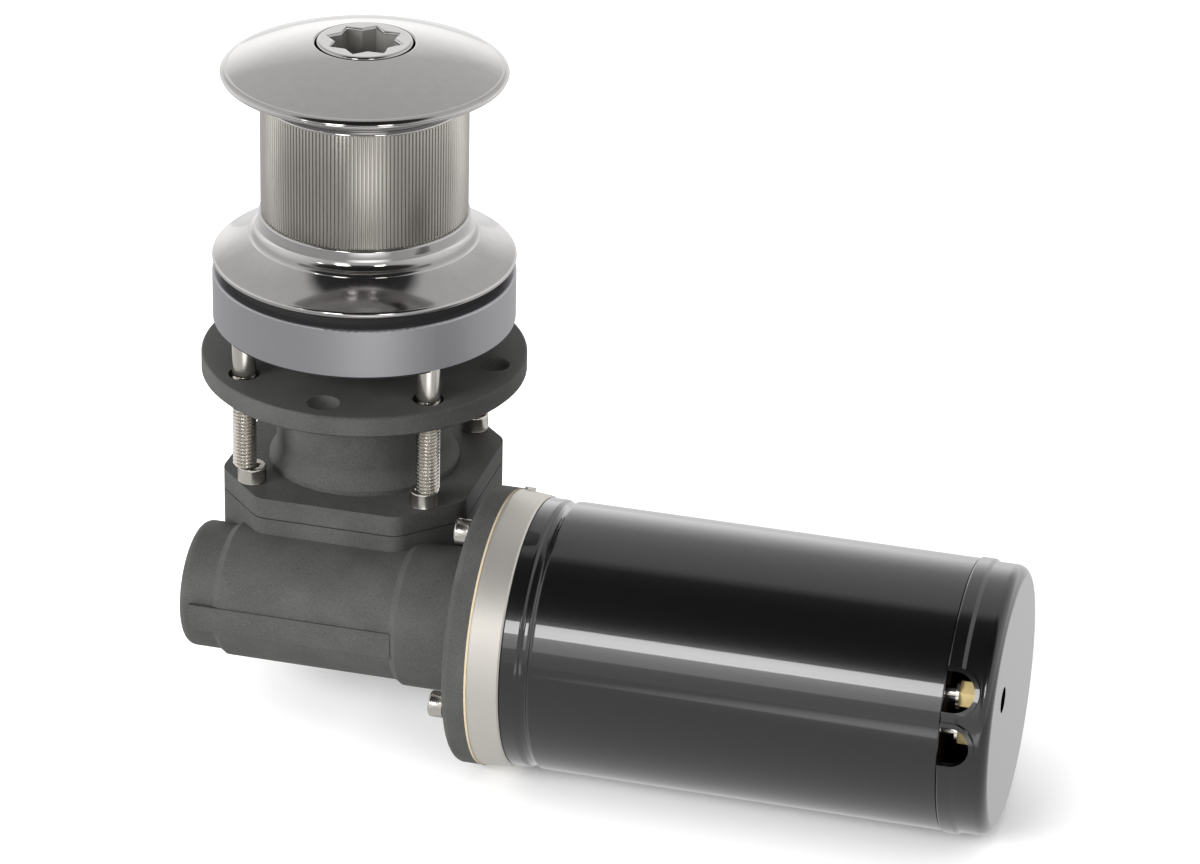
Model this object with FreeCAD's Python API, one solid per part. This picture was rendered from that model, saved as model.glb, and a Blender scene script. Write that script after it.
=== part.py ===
"""Vertical deck capstan with a worm gearbox under the deck and a motor beside it.

Row frame in millimetres. +Z is up along the drum's axis, and z = 0 is the deck that the base stands on.
+X runs along the worm and the motor, from the gearbox towards the motor's end cap.
"""
import FreeCAD
import Part
import math
import os

Vector = FreeCAD.Vector

# Deck joint
base_r = 50.0
stud_inset = 5.5
stud_count = 4
stud_thread_r = 4.0
stud_shank_r = 3.9
stud_hole_r = 5.2
stud_depth_in_base = 13.0
stud_end_gap = 0.5
stud_edge = 0.8
spare_hole_r = 5.4
deck_gap = 11.9
shank_end_gap = 0.4

# Base ring
deck_gasket_t = 0.8
gasket_inset = 0.6
base_top_z = 17.4
base_wall = 3.5
base_plate_t = 4.4
base_edge_r = 0.8
base_rib_t = 3.0
base_boss_wall = 2.5
bush_wall = 3.5
bush_inset = 1.5
hub_wall = 4.5
seal_ring_h = 3.4
seal_ring_w = 3.4

# Drum, all heights measured up from the lower edge of the skirt
skirt_gap = 3.8
skirt_r = base_r
skirt_rim_h = 2.3
skirt_rim_bulge = 0.8
skirt_lip_w = 2.4
skirt_lip_share = 0.6
skirt_crown_share = 0.9
skirt_crown_h = 2.1
barrel_r = 34.0
rib_depth = 0.45
rib_count = 168
rib_h = 39.7
rib_sink = 0.1
rib_bed = 1.0
barrel_wall = 3.2
foot_r = barrel_r + 0.6
foot_h = 17.0
foot_band_h = 3.0
flare_w = 5.0
flare_share = 0.48
flare_hollow = (1.9, 3.4)
flare_wall = 1.5
waist_r = barrel_r - 2.2
waist_h = 3.2
waist_foot_w = 0.2
waist_low_bend = (0.7, 0.9)
waist_high_bend = (3.0, 2.4)
head_under_h = 8.2
head_under_slope = (4.0, 0.5)
head_r = 47.1
head_rim_t = 2.4
head_rim_w = 1.0
head_rim_low_bend = (0.2, 0.4)
head_rim_high_bend = (0.5, 0.6)
head_rim_drop = 1.5
dome_rise = 8.2
dome_edge_r = 45.0
dome_bend = (0.66, 0.38)
bore_edge = 0.5
drum_hub_wall = 3.4
drum_hub_step = 1.0
seal_ring_inset = 1.2

# Star nut and clutch
nut_r = 15.6
nut_gap = 0.5
nut_proud = 0.6
nut_h = 35.1
nut_edge = 0.7
nut_step = 1.0
star_flats = 17.46
star_points = 8
star_depth = 20.0
washer_t = 1.6
cone_h = 12.0
cone_slope = math.tan(math.radians(13.0))
lower_cone_r = 22.0
upper_cone_r = 15.9
upper_cone_h = 10.0
cone_flange_t = 1.6
cone_key_l = 8.0
lower_key_rise = 2.0
upper_key_rise = 1.0
key_w = 6.0
key_h = 5.0
cone_gap = 0.1

# Main shaft
shaft_r = 12.5
drum_seat_r = 10.5
thread_r = 9.0
wheel_seat_r = 11.0
tail_r = 10.0
collar_r = 14.5
collar_h = 4.0
circlip_t = 1.4
circlip_w = 3.0
circlip_groove = 0.7
run_gap = 0.05
end_gap = 0.3
shaft_edge = 1.0
shaft_end_gap = 0.5
thread_relief = 0.5
wheel_key_inset = 2.0

# Gearbox cover: flange, neck and plate
flange_rim_w = 9.5
flange_t = 7.2
flange_edge = 0.8
neck_r = 29.2
neck_h = 32.3
neck_foot_r = 31.8
neck_foot_h = 5.6
neck_foot_step = 1.5
neck_foot_bend = (0.8, 1.0)
neck_foot_run = 2.5
seal_shoulder = 4.0
plate_half = 42.0
plate_cut = 18.0
plate_corner_r = 7.5
plate_t = 7.0
spigot_h = 3.0
spigot_gap = 0.1
cover_gasket_t = 0.4
cover_screw_inset = 12.3
cover_screw_xy = plate_half - cover_screw_inset
cover_screw_r = 3.0
cover_head_r = 4.75
cover_head_h = 5.6
cover_hex_flats = 5.0
cover_screw_l = 16.0
screw_clear = 0.3
hex_depth_share = 0.55

# Bearings and seals: bore radius, outer radius, width
upper_bearing = (shaft_r, 23.5, 12.0)
lower_bearing = (tail_r, 21.0, 12.0)
upper_seal_r = 20.0
upper_seal_t = 7.0
upper_seal_drop = 2.0
worm_left_bearing = (7.5, 16.0, 9.0)
worm_right_bearing = (8.5, 17.5, 10.0)
worm_seal_t = 6.0
armature_bearing = (6.0, 16.0, 10.0)
rear_bearing = (6.0, 14.0, 8.0)
race_share = 0.3
shield_t = 0.8
lip_w = 1.2

# Gear set
module = 2.0
wheel_teeth = 30
worm_pitch_r = 10.0
pressure_angle = math.radians(20.0)
root_clearance = 0.5
backlash = 0.34
tooth_foot_turn = 0.012
worm_thread_bed = (0.3, 0.6)
wheel_face_w = 14.0
wheel_hub_r = 17.0
wheel_web_t = 9.0
wheel_rim_t = 4.5
wheel_hub_low = 1.6
wheel_hub_high = 1.8
worm_thread_l = 32.0
worm_end_gap = 0.5
worm_collar = 2.0
worm_collar_l = 3.0
worm_slope_l = 2.0
worm_right_collar = 1.5
pot_floor_t = 4.0

# Gear housing
axis_drop = 28.4
pot_wall = 6.5
pot_side_h = 45.6
pot_edge = 5.0
pot_boss_r = 26.0
worm_end_room = 3.0
tube_end_r = 21.0
tube_r = 22.5
tube_neck_r = 24.0
tube_end_x = -45.5
tube_end_round = 3.0
tube_step_x = -31.0
tube_neck_x = 27.5
tube_step_l = 2.5
worm_bore_r = 13.5
pad_low_deg = -14.0
pad_high_deg = 9.0
pad_proud = 0.8
pad_start_x = -41.0
motor_flange_x = 52.0
motor_flange_t = 8.0
motor_flange_round = 2.5
flange_fillet = 5.0
motor_screw_first_deg = 75.0
motor_screw_count = 4
motor_screw_r = 2.5
motor_head_r = 4.25
motor_head_h = 5.0
motor_hex_flats = 4.0
motor_screw_l = 16.0

# Motor
case_r = 44.2
case_wall = 2.6
case_l = 143.2
case_edge = (0.4, 0.8)
bead_x = 7.6
bead_w = 4.6
bead_depth = 0.9
motor_flange_r = case_r + 1.7
motor_screw_circle_r = case_r - 4.4
motor_gasket_t = 0.7
bell_t = 10.3
bell_r = case_r + 1.4
bell_front_edge = (0.3, 1.0)
bell_rear_edge = (0.8, 0.5)
bell_rear_slope = 0.5
bell_collar_l = 4.0
bell_collar_t = 3.0
bell_seat_wall = 3.0
bell_seat_h = 1.0
bell_bore_gap = 1.0
bell_spigot_r = 30.0
bell_spigot_h = 2.6
bell_lip_t = 1.5
lug_r = 1.8
lug_proud = 0.9
lug_x = 2.4
lug_deg = 117.0
magnet_t = 6.8
magnet_x = 22.0
magnet_end_room = 33.2
magnet_l = case_l - magnet_x - magnet_end_room
magnet_deg = 74.0
magnet_count = 4
magnet_overhang = 5.0
air_gap = 0.8
core_l = magnet_l - 2 * magnet_overhang
slot_count = 16
slot_w = 4.4
slot_depth = 9.0
coil_gap = 0.3
coil_bulge_l = 11.0
coil_bulge_r = 31.0
coil_inner_r = 14.0
coil_round = 0.6
coil_sink = 1.5
commutator_r = 14.0
commutator_gap = 1.0
commutator_l = 18.0
riser_r = 17.0
riser_l = 3.0
segment_count = 16
segment_groove_w = 0.8
segment_groove_d = 1.2
core_seat_r = 8.0
coupling_r = 11.0
coupling_l = 13.0
coupling_seat_r = 7.0
coupling_gap = 2.0
brush_plate_t = 3.0
brush_plate_bore_r = 17.5
brush_box_w = 12.0
brush_box_wall = 1.2
brush_box_l = 15.0
brush_box_h = 11.0
brush_box_gap = 2.0
brush_reach = 0.7
brush_count = 4

# End cap and terminals
cap_l = 15.6
cap_wall = 2.2
cap_band_l = 4.4
cap_band_r = case_r + 0.5
cap_band_edge = 0.4
cap_band_slope = 1.2
cap_r = case_r - 0.3
cap_round = 4.0
cap_end_t = 3.8
cap_boss_wall = 2.4
outlet_w = 13.0
outlet_l = 9.8
outlet_deg = (29.6, 6.8)
outlet_rim_w = 1.5
outlet_rim_proud = 0.5
outlet_rim_bed = 3.0
outlet_reach = 8.0
cap_hole_r = 4.25
cap_hole_inset = 22.8
cap_hole_deg = 29.5
terminal_r = 2.5
terminal_inset = (8.2, 14.2)
terminal_deg = (29.6, 6.8)
terminal_l = 16.5
terminal_proud = 2.0
terminal_nut_flats = 8.0
terminal_nut_t = 5.0
terminal_washer_r = 5.0
terminal_washer_t = 1.0

# Levels and places that follow from the sizes above
flange_top_z = -deck_gap
flange_bottom_z = flange_top_z - flange_t
plate_top_z = flange_bottom_z - neck_h
parting_z = plate_top_z - plate_t
housing_top_z = parting_z - cover_gasket_t
axis_z = parting_z - axis_drop
wheel_pitch_r = module * wheel_teeth / 2
centre_distance = worm_pitch_r + wheel_pitch_r
wheel_tip_r = wheel_pitch_r + module
wheel_root_r = wheel_pitch_r - module - root_clearance
worm_tip_r = worm_pitch_r + module
worm_root_r = worm_pitch_r - module - root_clearance
lead = math.pi * module
pot_bore_r = plate_half - pot_wall
stud_r = base_r - stud_inset
flange_r = stud_r + flange_rim_w
stud_end_z = plate_top_z + cover_head_h + stud_end_gap
drum_z = base_top_z + skirt_gap
rib_z = drum_z + foot_h
rib_top_z = rib_z + rib_h
head_under_z = rib_top_z + head_under_h
head_edge_z = head_under_z + head_rim_t
dome_top_z = head_edge_z + dome_rise
nut_top_z = dome_top_z + nut_proud
nut_bottom_z = nut_top_z - nut_h
washer_z = nut_bottom_z - washer_t
upper_cone_z = washer_z - upper_cone_h
shaft_top_z = nut_top_z - star_depth - end_gap
lower_cone_z = drum_z - end_gap
lower_seat_z = lower_cone_z + cone_flange_t + end_gap
lower_cone_top_z = lower_seat_z + cone_h
upper_bearing_z = parting_z
upper_bearing_top_z = upper_bearing_z + upper_bearing[2]
upper_seal_z = flange_top_z - upper_seal_drop - upper_seal_t
wheel_low_z = axis_z - wheel_face_w / 2
pot_floor_z = wheel_low_z - module
lower_bearing_top_z = wheel_low_z - wheel_hub_low
lower_bearing_z = lower_bearing_top_z - lower_bearing[2]
pot_bottom_z = lower_bearing_z - pot_floor_t
wheel_hub_top_z = axis_z + wheel_face_w / 2 + wheel_hub_high
spacer_z = wheel_hub_top_z + collar_h
gasket_x = motor_flange_x + motor_flange_t
bell_x = gasket_x + motor_gasket_t
case_x = bell_x + bell_t
seam_x = case_x + case_l
cap_end_x = seam_x + cap_l
worm_left_x = tube_end_x + tube_end_round + worm_end_gap
worm_right_x = tube_neck_x + tube_step_l
coupling_x = worm_right_x + worm_right_bearing[2] + worm_seal_t + coupling_gap
core_x = case_x + magnet_x + (magnet_l - core_l) / 2
rear_boss_x = cap_end_x - cap_end_t
rear_bearing_x = rear_boss_x - rear_bearing[2]
commutator_x = core_x + core_l + coil_bulge_l + commutator_gap
brush_plate_x = commutator_x + commutator_l + riser_l
core_r = case_r - case_wall - magnet_t - air_gap
cap_inner_r = cap_r - cap_wall


def outline(start, *steps):
    """Closed wire in the XZ plane. A step is a point, or two points for an arc through the first one."""
    here = Vector(start[0], 0, start[1])
    first = here
    edges = []
    for step in steps:
        if isinstance(step[0], tuple):
            middle, end = (Vector(p[0], 0, p[1]) for p in step)
            edges.append(Part.Arc(here, middle, end).toShape())
        else:
            end = Vector(step[0], 0, step[1])
            edges.append(Part.makeLine(here, end))
        here = end
    if here.sub(first).Length > 1e-6:
        edges.append(Part.makeLine(here, first))
    return Part.Wire(edges)


def turned(start, *steps):
    """Solid of revolution about Z from an outline of (radius, height) points."""
    face = Part.Face(outline(start, *steps))
    return face.revolve(Vector(0, 0, 0), Vector(0, 0, 1), 360)


def round_corner(before, corner, after, radius):
    """The two ends and the middle of an arc that rounds a right-angled corner of an outline."""
    to_before = Vector(before[0] - corner[0], before[1] - corner[1], 0).normalize()
    to_after = Vector(after[0] - corner[0], after[1] - corner[1], 0).normalize()
    share = 1 - math.sqrt(0.5)
    here = Vector(corner[0], corner[1], 0)
    start = here + to_before * radius
    middle = here + (to_before + to_after) * (radius * share)
    end = here + to_after * radius
    return (start.x, start.y), ((middle.x, middle.y), (end.x, end.y))


def rod(radius, low, high, x=0.0, y=0.0):
    """Solid cylinder along Z."""
    return Part.makeCylinder(radius, high - low, Vector(x, y, low))


def tube(inner_r, outer_r, low, high):
    """Cylinder along Z with a bore."""
    return rod(outer_r, low, high).cut(rod(inner_r, low - 1, high + 1))


def prism(points, low, high):
    """Straight prism along Z over a closed polygon of (x, y) points."""
    corners = [Vector(x, y, low) for x, y in points]
    face = Part.Face(Part.makePolygon(corners + corners[:1]))
    return face.extrude(Vector(0, 0, high - low))


def block(x0, x1, y0, y1, low, high):
    """Box between two corners."""
    return Part.makeBox(x1 - x0, y1 - y0, high - low, Vector(x0, y0, low))


def polar_points(count, radius, first_deg=0.0):
    """Evenly spaced (x, y) points on a circle."""
    turns = [math.radians(first_deg + 360.0 * i / count) for i in range(count)]
    return [(radius * math.cos(t), radius * math.sin(t)) for t in turns]


def hexagon(flats, low, high):
    """Six-sided prism along Z with the given width across flats."""
    return prism(polar_points(6, flats / math.sqrt(3)), low, high)


def spun(shape, degrees):
    """Copy of a shape turned about Z."""
    copy = shape.copy()
    copy.rotate(Vector(0, 0, 0), Vector(0, 0, 1), degrees)
    return copy


def moved(shape, x, y, z=0.0):
    """Copy of a shape shifted along the axes."""
    copy = shape.copy()
    copy.translate(Vector(x, y, z))
    return copy


def around(shape, count, first_deg=0.0):
    """Copies of a shape turned about Z in equal steps."""
    return [spun(shape, first_deg + 360.0 * i / count) for i in range(count)]


def on_worm_axis(shape):
    """Lays a part that was built along Z onto the worm's axis, with its height becoming x."""
    copy = shape.copy()
    copy.rotate(Vector(0, 0, 0), Vector(0, 1, 0), 90)
    copy.translate(Vector(0, -centre_distance, axis_z))
    return copy


def local_deg(rise_deg):
    """Turn about the worm axis, before laying down, of a place this many degrees above the front."""
    return -90.0 - rise_deg


def export(name, shape):
    """Writes one node, as one solid or as a group of separate solids."""
    solids = shape if isinstance(shape, list) else [shape]
    solids = [s for item in solids for s in item.Solids]
    result = solids[0] if len(solids) == 1 else Part.makeCompound(solids)
    if not result.isValid():
        raise ValueError(name + " is not a valid solid")
    result.exportStep("parts/" + name + ".step")


def bearing_rings(size, low):
    """Outer ring with its two shields, and inner ring, of a shielded ball bearing along Z."""
    bore_r, outer_r, width = size
    race = (outer_r - bore_r) * race_share
    high = low + width
    shield_in_r = bore_r + race + end_gap
    groove_r = outer_r - race
    outer = turned(
        (outer_r, low), (outer_r, high), (shield_in_r, high), (shield_in_r, high - shield_t),
        (groove_r, high - shield_t), (groove_r, low + shield_t), (shield_in_r, low + shield_t),
        (shield_in_r, low),
    )
    inner = tube(bore_r, bore_r + race, low, high)
    return outer, inner


def lip_seal(shaft_radius, outer_r, low, high):
    """Rubber shaft seal: outer wall, web and a lip that runs on the shaft."""
    lip_r = shaft_radius + run_gap
    web = (high - low) / 3
    return turned(
        (outer_r, low), (outer_r, high), (lip_r, high), (lip_r, high - web),
        (lip_r + lip_w, high - 2 * web), (outer_r - lip_w, high - web), (outer_r - lip_w, low),
    )


def cap_screw(radius, length, head_r, head_h, hex_flats):
    """Socket cap screw along Z. Its seat is at z = 0, the head above it and the shank below it."""
    head = turned(
        (0, 0), (head_r, 0), (head_r, head_h - nut_edge), (head_r - nut_edge, head_h), (0, head_h),
    )
    screw = head.fuse(rod(radius, -length, 0))
    return screw.cut(hexagon(hex_flats, head_h * (1 - hex_depth_share), head_h + 1))


def octagon(half, cut, corner_r, low, high):
    """Eight-sided plate with rounded vertical corners."""
    short = half - cut
    points = [(half, -short), (half, short), (short, half), (-short, half),
              (-half, short), (-half, -short), (-short, -half), (short, -half)]
    solid = prism(points, low, high)
    upright = [e for e in solid.Edges if abs(e.tangentAt(e.FirstParameter).z) > 0.99]
    return solid.makeFillet(corner_r, upright)


def base_ring():
    """Cup-shaped ring on the deck, with a hub for the shaft's bush and four bosses for the studs."""
    hub_in_r = shaft_r + run_gap + bush_wall
    hub_r = hub_in_r + hub_wall
    plate_low = base_top_z - base_plate_t
    start, edge = round_corner(
        (base_r, deck_gasket_t), (base_r, base_top_z), (hub_in_r, base_top_z), base_edge_r)
    shell = turned(
        (base_r - base_wall, deck_gasket_t), (base_r, deck_gasket_t), start, edge,
        (hub_in_r, base_top_z), (hub_in_r, bush_inset), (hub_r, bush_inset), (hub_r, plate_low),
        (base_r - base_wall, plate_low),
    )
    boss_r = stud_thread_r + base_boss_wall
    inside = rod(base_r - base_wall / 2, deck_gasket_t, plate_low + 1)
    bosses = [rod(boss_r, deck_gasket_t, plate_low + 1, x, y).common(inside)
              for x, y in polar_points(stud_count, stud_r, 45)]
    rib = block(hub_r - base_edge_r, base_r - base_wall / 2, -base_rib_t / 2, base_rib_t / 2,
                2 * bush_inset, plate_low + 1)
    solid = shell.fuse(bosses + around(rib, stud_count))
    holes = [rod(stud_thread_r, 0, stud_depth_in_base, x, y) for x, y in polar_points(stud_count, stud_r, 45)]
    return solid.cut(holes).removeSplitter()


def deck_gasket():
    """Thin rubber ring between base and deck, pierced by the studs."""
    inner_r = stud_r - stud_thread_r - base_boss_wall
    ring = tube(inner_r, base_r - gasket_inset, 0, deck_gasket_t)
    return ring.cut([rod(stud_hole_r, -1, deck_gasket_t + 1, x, y)
                     for x, y in polar_points(stud_count, stud_r, 45)])


def base_seal_ring():
    """Dark ring on the base that keeps spray out of the gap under the drum."""
    outer_r = skirt_r - skirt_lip_w - seal_ring_inset
    return tube(outer_r - seal_ring_w, outer_r, base_top_z, base_top_z + seal_ring_h)


def base_bush():
    """Plain bush that guides the main shaft in the base."""
    return tube(shaft_r + run_gap, shaft_r + run_gap + bush_wall, bush_inset, base_top_z)


def mounting_studs():
    """Four studs: threaded into the base, plain through the deck, threaded below the flange."""
    shank_low = flange_top_z + shank_end_gap
    stud = turned(
        (0, stud_end_z), (stud_thread_r - stud_edge, stud_end_z), (stud_thread_r, stud_end_z + stud_edge),
        (stud_thread_r, shank_low), (stud_shank_r, shank_low), (stud_shank_r, 0), (stud_thread_r, 0),
        (stud_thread_r, stud_depth_in_base - stud_end_gap), (0, stud_depth_in_base - stud_end_gap),
    )
    return [moved(stud, x, y) for x, y in polar_points(stud_count, stud_r, 45)]


def drum():
    """Drum in one piece: flared skirt, ribbed barrel, waist and domed head, with two clutch seats inside."""
    rib_root_r = barrel_r - rib_depth
    core_r_outer = barrel_r - barrel_wall
    seat_low_r = lower_cone_r + cone_gap
    seat_top_r = seat_low_r - cone_h * cone_slope
    hub_low_r = seat_low_r + drum_hub_wall
    hub_r = nut_r + nut_gap + drum_hub_wall + drum_hub_step
    bore_r = nut_r + nut_gap
    up_seat_r = upper_cone_r + cone_gap
    up_seat_low_r = up_seat_r - upper_cone_h * cone_slope
    guide_r = drum_seat_r + run_gap
    core_top_z = rib_top_z - waist_h
    waist_z = rib_top_z + waist_h
    lip_in_r = skirt_r - skirt_lip_w
    rim_top_z = drum_z + skirt_rim_h
    rim_middle_z = drum_z + skirt_rim_h / 2
    band_z = rib_z - foot_band_h
    flare_z = rim_top_z + (band_z - rim_top_z) * flare_share
    bed_r = rib_root_r - rib_sink
    body = turned(
        (guide_r, lower_cone_top_z), (guide_r, upper_cone_z - cone_gap),
        (up_seat_low_r, upper_cone_z - cone_gap), (up_seat_r, washer_z - cone_gap),
        (bore_r, washer_z), (bore_r, dome_top_z - bore_edge), (bore_r + bore_edge, dome_top_z),
        ((head_r * dome_bend[0], dome_top_z - dome_rise * dome_bend[1]), (dome_edge_r, head_edge_z)),
        ((head_r - head_rim_high_bend[0], head_edge_z - head_rim_high_bend[1]),
         (head_r, head_edge_z - head_rim_drop)),
        ((head_r - head_rim_low_bend[0], head_under_z + head_rim_low_bend[1]),
         (head_r - head_rim_w, head_under_z)),
        (head_r - head_under_slope[0], head_under_z - head_under_slope[1]),
        ((waist_r + waist_high_bend[0], waist_z + waist_high_bend[1]), (waist_r, waist_z)),
        ((waist_r + waist_low_bend[0], rib_top_z + waist_low_bend[1]), (barrel_r + waist_foot_w, rib_top_z)),
        (bed_r, rib_top_z), (bed_r, rib_z), (foot_r, rib_z), (foot_r, band_z),
        ((foot_r + flare_hollow[0], band_z - flare_hollow[1]), (foot_r + flare_w, flare_z)),
        ((skirt_r * skirt_crown_share, rim_top_z + skirt_crown_h), (skirt_r - skirt_rim_bulge, rim_top_z)),
        ((skirt_r, rim_middle_z), (skirt_r - skirt_rim_bulge, drum_z)),
        (lip_in_r, drum_z), (lip_in_r, drum_z + skirt_rim_h * skirt_lip_share),
        (core_r_outer, flare_z - flare_wall), (core_r_outer, core_top_z), (hub_r, core_top_z),
        (hub_r, lower_cone_top_z + drum_hub_wall), (hub_low_r, lower_cone_top_z - drum_hub_wall),
        (hub_low_r, lower_seat_z), (seat_low_r, lower_seat_z), (seat_top_r, lower_cone_top_z),
    )
    tips = polar_points(rib_count, barrel_r)
    roots = polar_points(rib_count, rib_root_r, 180.0 / rib_count)
    zigzag = [p for pair in zip(tips, roots) for p in pair]
    ribs = prism(zigzag, rib_z, rib_top_z).cut(rod(rib_root_r - rib_bed, rib_z - 1, rib_top_z + 1))
    return body.fuse(ribs)


def star_nut():
    """Nut on the top of the shaft with the eight-point socket of a winch handle above its thread."""
    outer_r = star_flats / 2 * math.sqrt(2)
    inner_r = star_flats / 2 / math.cos(math.pi / star_points)
    tips = polar_points(star_points, outer_r)
    notches = polar_points(star_points, inner_r, 180.0 / star_points)
    star = [p for pair in zip(tips, notches) for p in pair]
    sleeve_r = nut_r - nut_step
    step_z = head_under_z + head_rim_t
    body = turned(
        (0, nut_bottom_z), (sleeve_r, nut_bottom_z), (sleeve_r, step_z), (nut_r, step_z + nut_step),
        (nut_r, nut_top_z - nut_edge), (nut_r - nut_edge, nut_top_z), (0, nut_top_z),
    )
    socket = prism(star, nut_top_z - star_depth, nut_top_z + 1)
    thread = rod(thread_r + run_gap, nut_bottom_z - 1, nut_top_z)
    return body.cut([socket, thread])


def nut_washer():
    """Thrust washer between star nut and upper cone."""
    return tube(thread_r + end_gap, nut_r - nut_step, washer_z, nut_bottom_z)


def keyed(shape, seat_r, low, high):
    """Cuts a keyway for a square key into a hub that sits on the shaft."""
    return shape.cut(block(0, seat_r + key_h / 2, -key_w / 2, key_w / 2, low, high))


def lower_clutch_cone():
    """Lower friction cone, keyed to the shaft under the drum's seat."""
    top_r = lower_cone_r - cone_h * cone_slope
    flange = lower_cone_r + drum_hub_wall - end_gap
    high = lower_cone_top_z - cone_gap
    body = turned(
        (drum_seat_r, lower_cone_z), (flange, lower_cone_z), (flange, lower_cone_z + cone_flange_t),
        (lower_cone_r, lower_cone_z + cone_flange_t), (lower_cone_r, lower_seat_z), (top_r, high),
        (drum_seat_r, high),
    )
    return keyed(body, drum_seat_r, lower_cone_z - 1, high + 1)


def upper_clutch_cone():
    """Upper friction cone, keyed to the shaft and pressed down by the star nut."""
    low_r = upper_cone_r - upper_cone_h * cone_slope
    body = turned(
        (drum_seat_r, upper_cone_z), (low_r, upper_cone_z), (upper_cone_r, washer_z), (drum_seat_r, washer_z),
    )
    return keyed(body, drum_seat_r, upper_cone_z - 1, washer_z + 1)


def cone_key(low):
    """Square key half sunk into the shaft."""
    inner_r = drum_seat_r - key_h / 2
    return block(inner_r, inner_r + key_h, -key_w / 2, key_w / 2, low, low + cone_key_l)


def cone_keys():
    """One key under each clutch cone."""
    return [cone_key(lower_cone_z + lower_key_rise), cone_key(upper_cone_z + upper_key_rise)]


def wheel_key():
    """Key between main shaft and worm wheel."""
    low = lower_bearing_top_z + wheel_key_inset
    high = wheel_hub_top_z - wheel_key_inset
    inner_r = wheel_seat_r - key_h / 2
    return block(inner_r, inner_r + key_h, -key_w / 2, key_w / 2, low, high)


def main_shaft():
    """Vertical shaft from the lower bearing to the star nut's thread, with keyways and a circlip groove."""
    seat_top_z = washer_z - thread_relief
    shaft_low_z = lower_bearing_z + shaft_end_gap
    groove_low = base_top_z + end_gap
    groove_high = groove_low + circlip_t
    groove_r = shaft_r - circlip_groove
    body = turned(
        (0, shaft_low_z), (tail_r - shaft_edge, shaft_low_z), (tail_r, shaft_low_z + shaft_edge),
        (tail_r, lower_bearing_top_z), (wheel_seat_r, lower_bearing_top_z), (wheel_seat_r, wheel_hub_top_z),
        (collar_r, wheel_hub_top_z), (collar_r, spacer_z), (shaft_r, spacer_z),
        (shaft_r, groove_low), (groove_r, groove_low), (groove_r, groove_high),
        (shaft_r, groove_high), (shaft_r, lower_cone_z), (drum_seat_r, lower_cone_z),
        (drum_seat_r, seat_top_z), (thread_r, seat_top_z), (thread_r, shaft_top_z - shaft_edge),
        (thread_r - shaft_edge, shaft_top_z), (0, shaft_top_z),
    )
    return body.cut(cone_keys() + [wheel_key()])


def shaft_circlip():
    """Open ring in the shaft's groove, above the bush."""
    low = base_top_z + end_gap
    high = low + circlip_t
    inner_r = shaft_r - circlip_groove
    ring = tube(inner_r, inner_r + circlip_w, low, high)
    return ring.cut(block(0, inner_r + circlip_w + 1, -circlip_w, circlip_w, low - 1, high + 1))


def shaft_spacer():
    """Tube between the shaft's collar and the upper bearing."""
    race_r = shaft_r + (upper_bearing[1] - shaft_r) * race_share
    return tube(shaft_r, race_r, spacer_z, upper_bearing_z)


def worm_wheel():
    """Worm wheel: involute teeth that lean by the worm's lead angle, on a rim, web and hub."""
    low = axis_z - wheel_face_w / 2
    lean_deg = math.degrees(lead / (2 * math.pi * worm_pitch_r) * wheel_face_w / wheel_pitch_r)
    middle = tooth_polygon()
    section = Part.Wire(Part.makePolygon([Vector(x, y, 0) for x, y in middle + middle[:1]]))
    layers = []
    for share in (0.0, 0.5, 1.0):
        layer = section.copy()
        layer.rotate(Vector(0, 0, 0), Vector(0, 0, 1), lean_deg * (share - 0.5))
        layer.translate(Vector(0, 0, low + share * wheel_face_w))
        layers.append(layer)
    toothed = Part.makeLoft(layers, True, True)
    rim_r = wheel_root_r - wheel_rim_t
    high = low + wheel_face_w
    web_low = axis_z - wheel_web_t / 2
    web_high = axis_z + wheel_web_t / 2
    core = turned(
        (wheel_seat_r, lower_bearing_top_z), (wheel_hub_r, lower_bearing_top_z), (wheel_hub_r, web_low),
        (rim_r, web_low), (rim_r, low), (wheel_root_r - 1, low), (wheel_root_r - 1, high), (rim_r, high),
        (rim_r, web_high), (wheel_hub_r, web_high), (wheel_hub_r, wheel_hub_top_z),
        (wheel_seat_r, wheel_hub_top_z),
    )
    wheel = toothed.cut(rod(wheel_root_r - 2, low - 1, high + 1)).fuse(core)
    return keyed(wheel, wheel_seat_r, lower_bearing_top_z - 1, wheel_hub_top_z + 1)


def tooth_polygon():
    """Outline of the worm wheel in its middle plane, with a tooth gap facing the worm."""
    base_circle_r = wheel_pitch_r * math.cos(pressure_angle)
    half_tooth = (math.pi * module / 2 - backlash / 2) / 2 / wheel_pitch_r
    inv_pitch = math.tan(pressure_angle) - pressure_angle

    def half_angle(radius):
        angle = math.acos(min(1.0, base_circle_r / radius))
        return half_tooth + inv_pitch - (math.tan(angle) - angle)

    radii = [base_circle_r + run_gap, wheel_pitch_r - module / 3, wheel_pitch_r + module / 3, wheel_tip_r]
    flank = [(wheel_root_r, half_angle(radii[0]) + tooth_foot_turn)] + [(r, half_angle(r)) for r in radii]
    points = []
    for tooth in range(wheel_teeth):
        middle = -math.pi / 2 + (tooth + 0.5) * 2 * math.pi / wheel_teeth
        rising = [(r, middle - a) for r, a in flank]
        falling = [(r, middle + a) for r, a in reversed(flank)]
        points += [(r * math.cos(t), r * math.sin(t)) for r, t in rising + falling]
    return points


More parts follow.
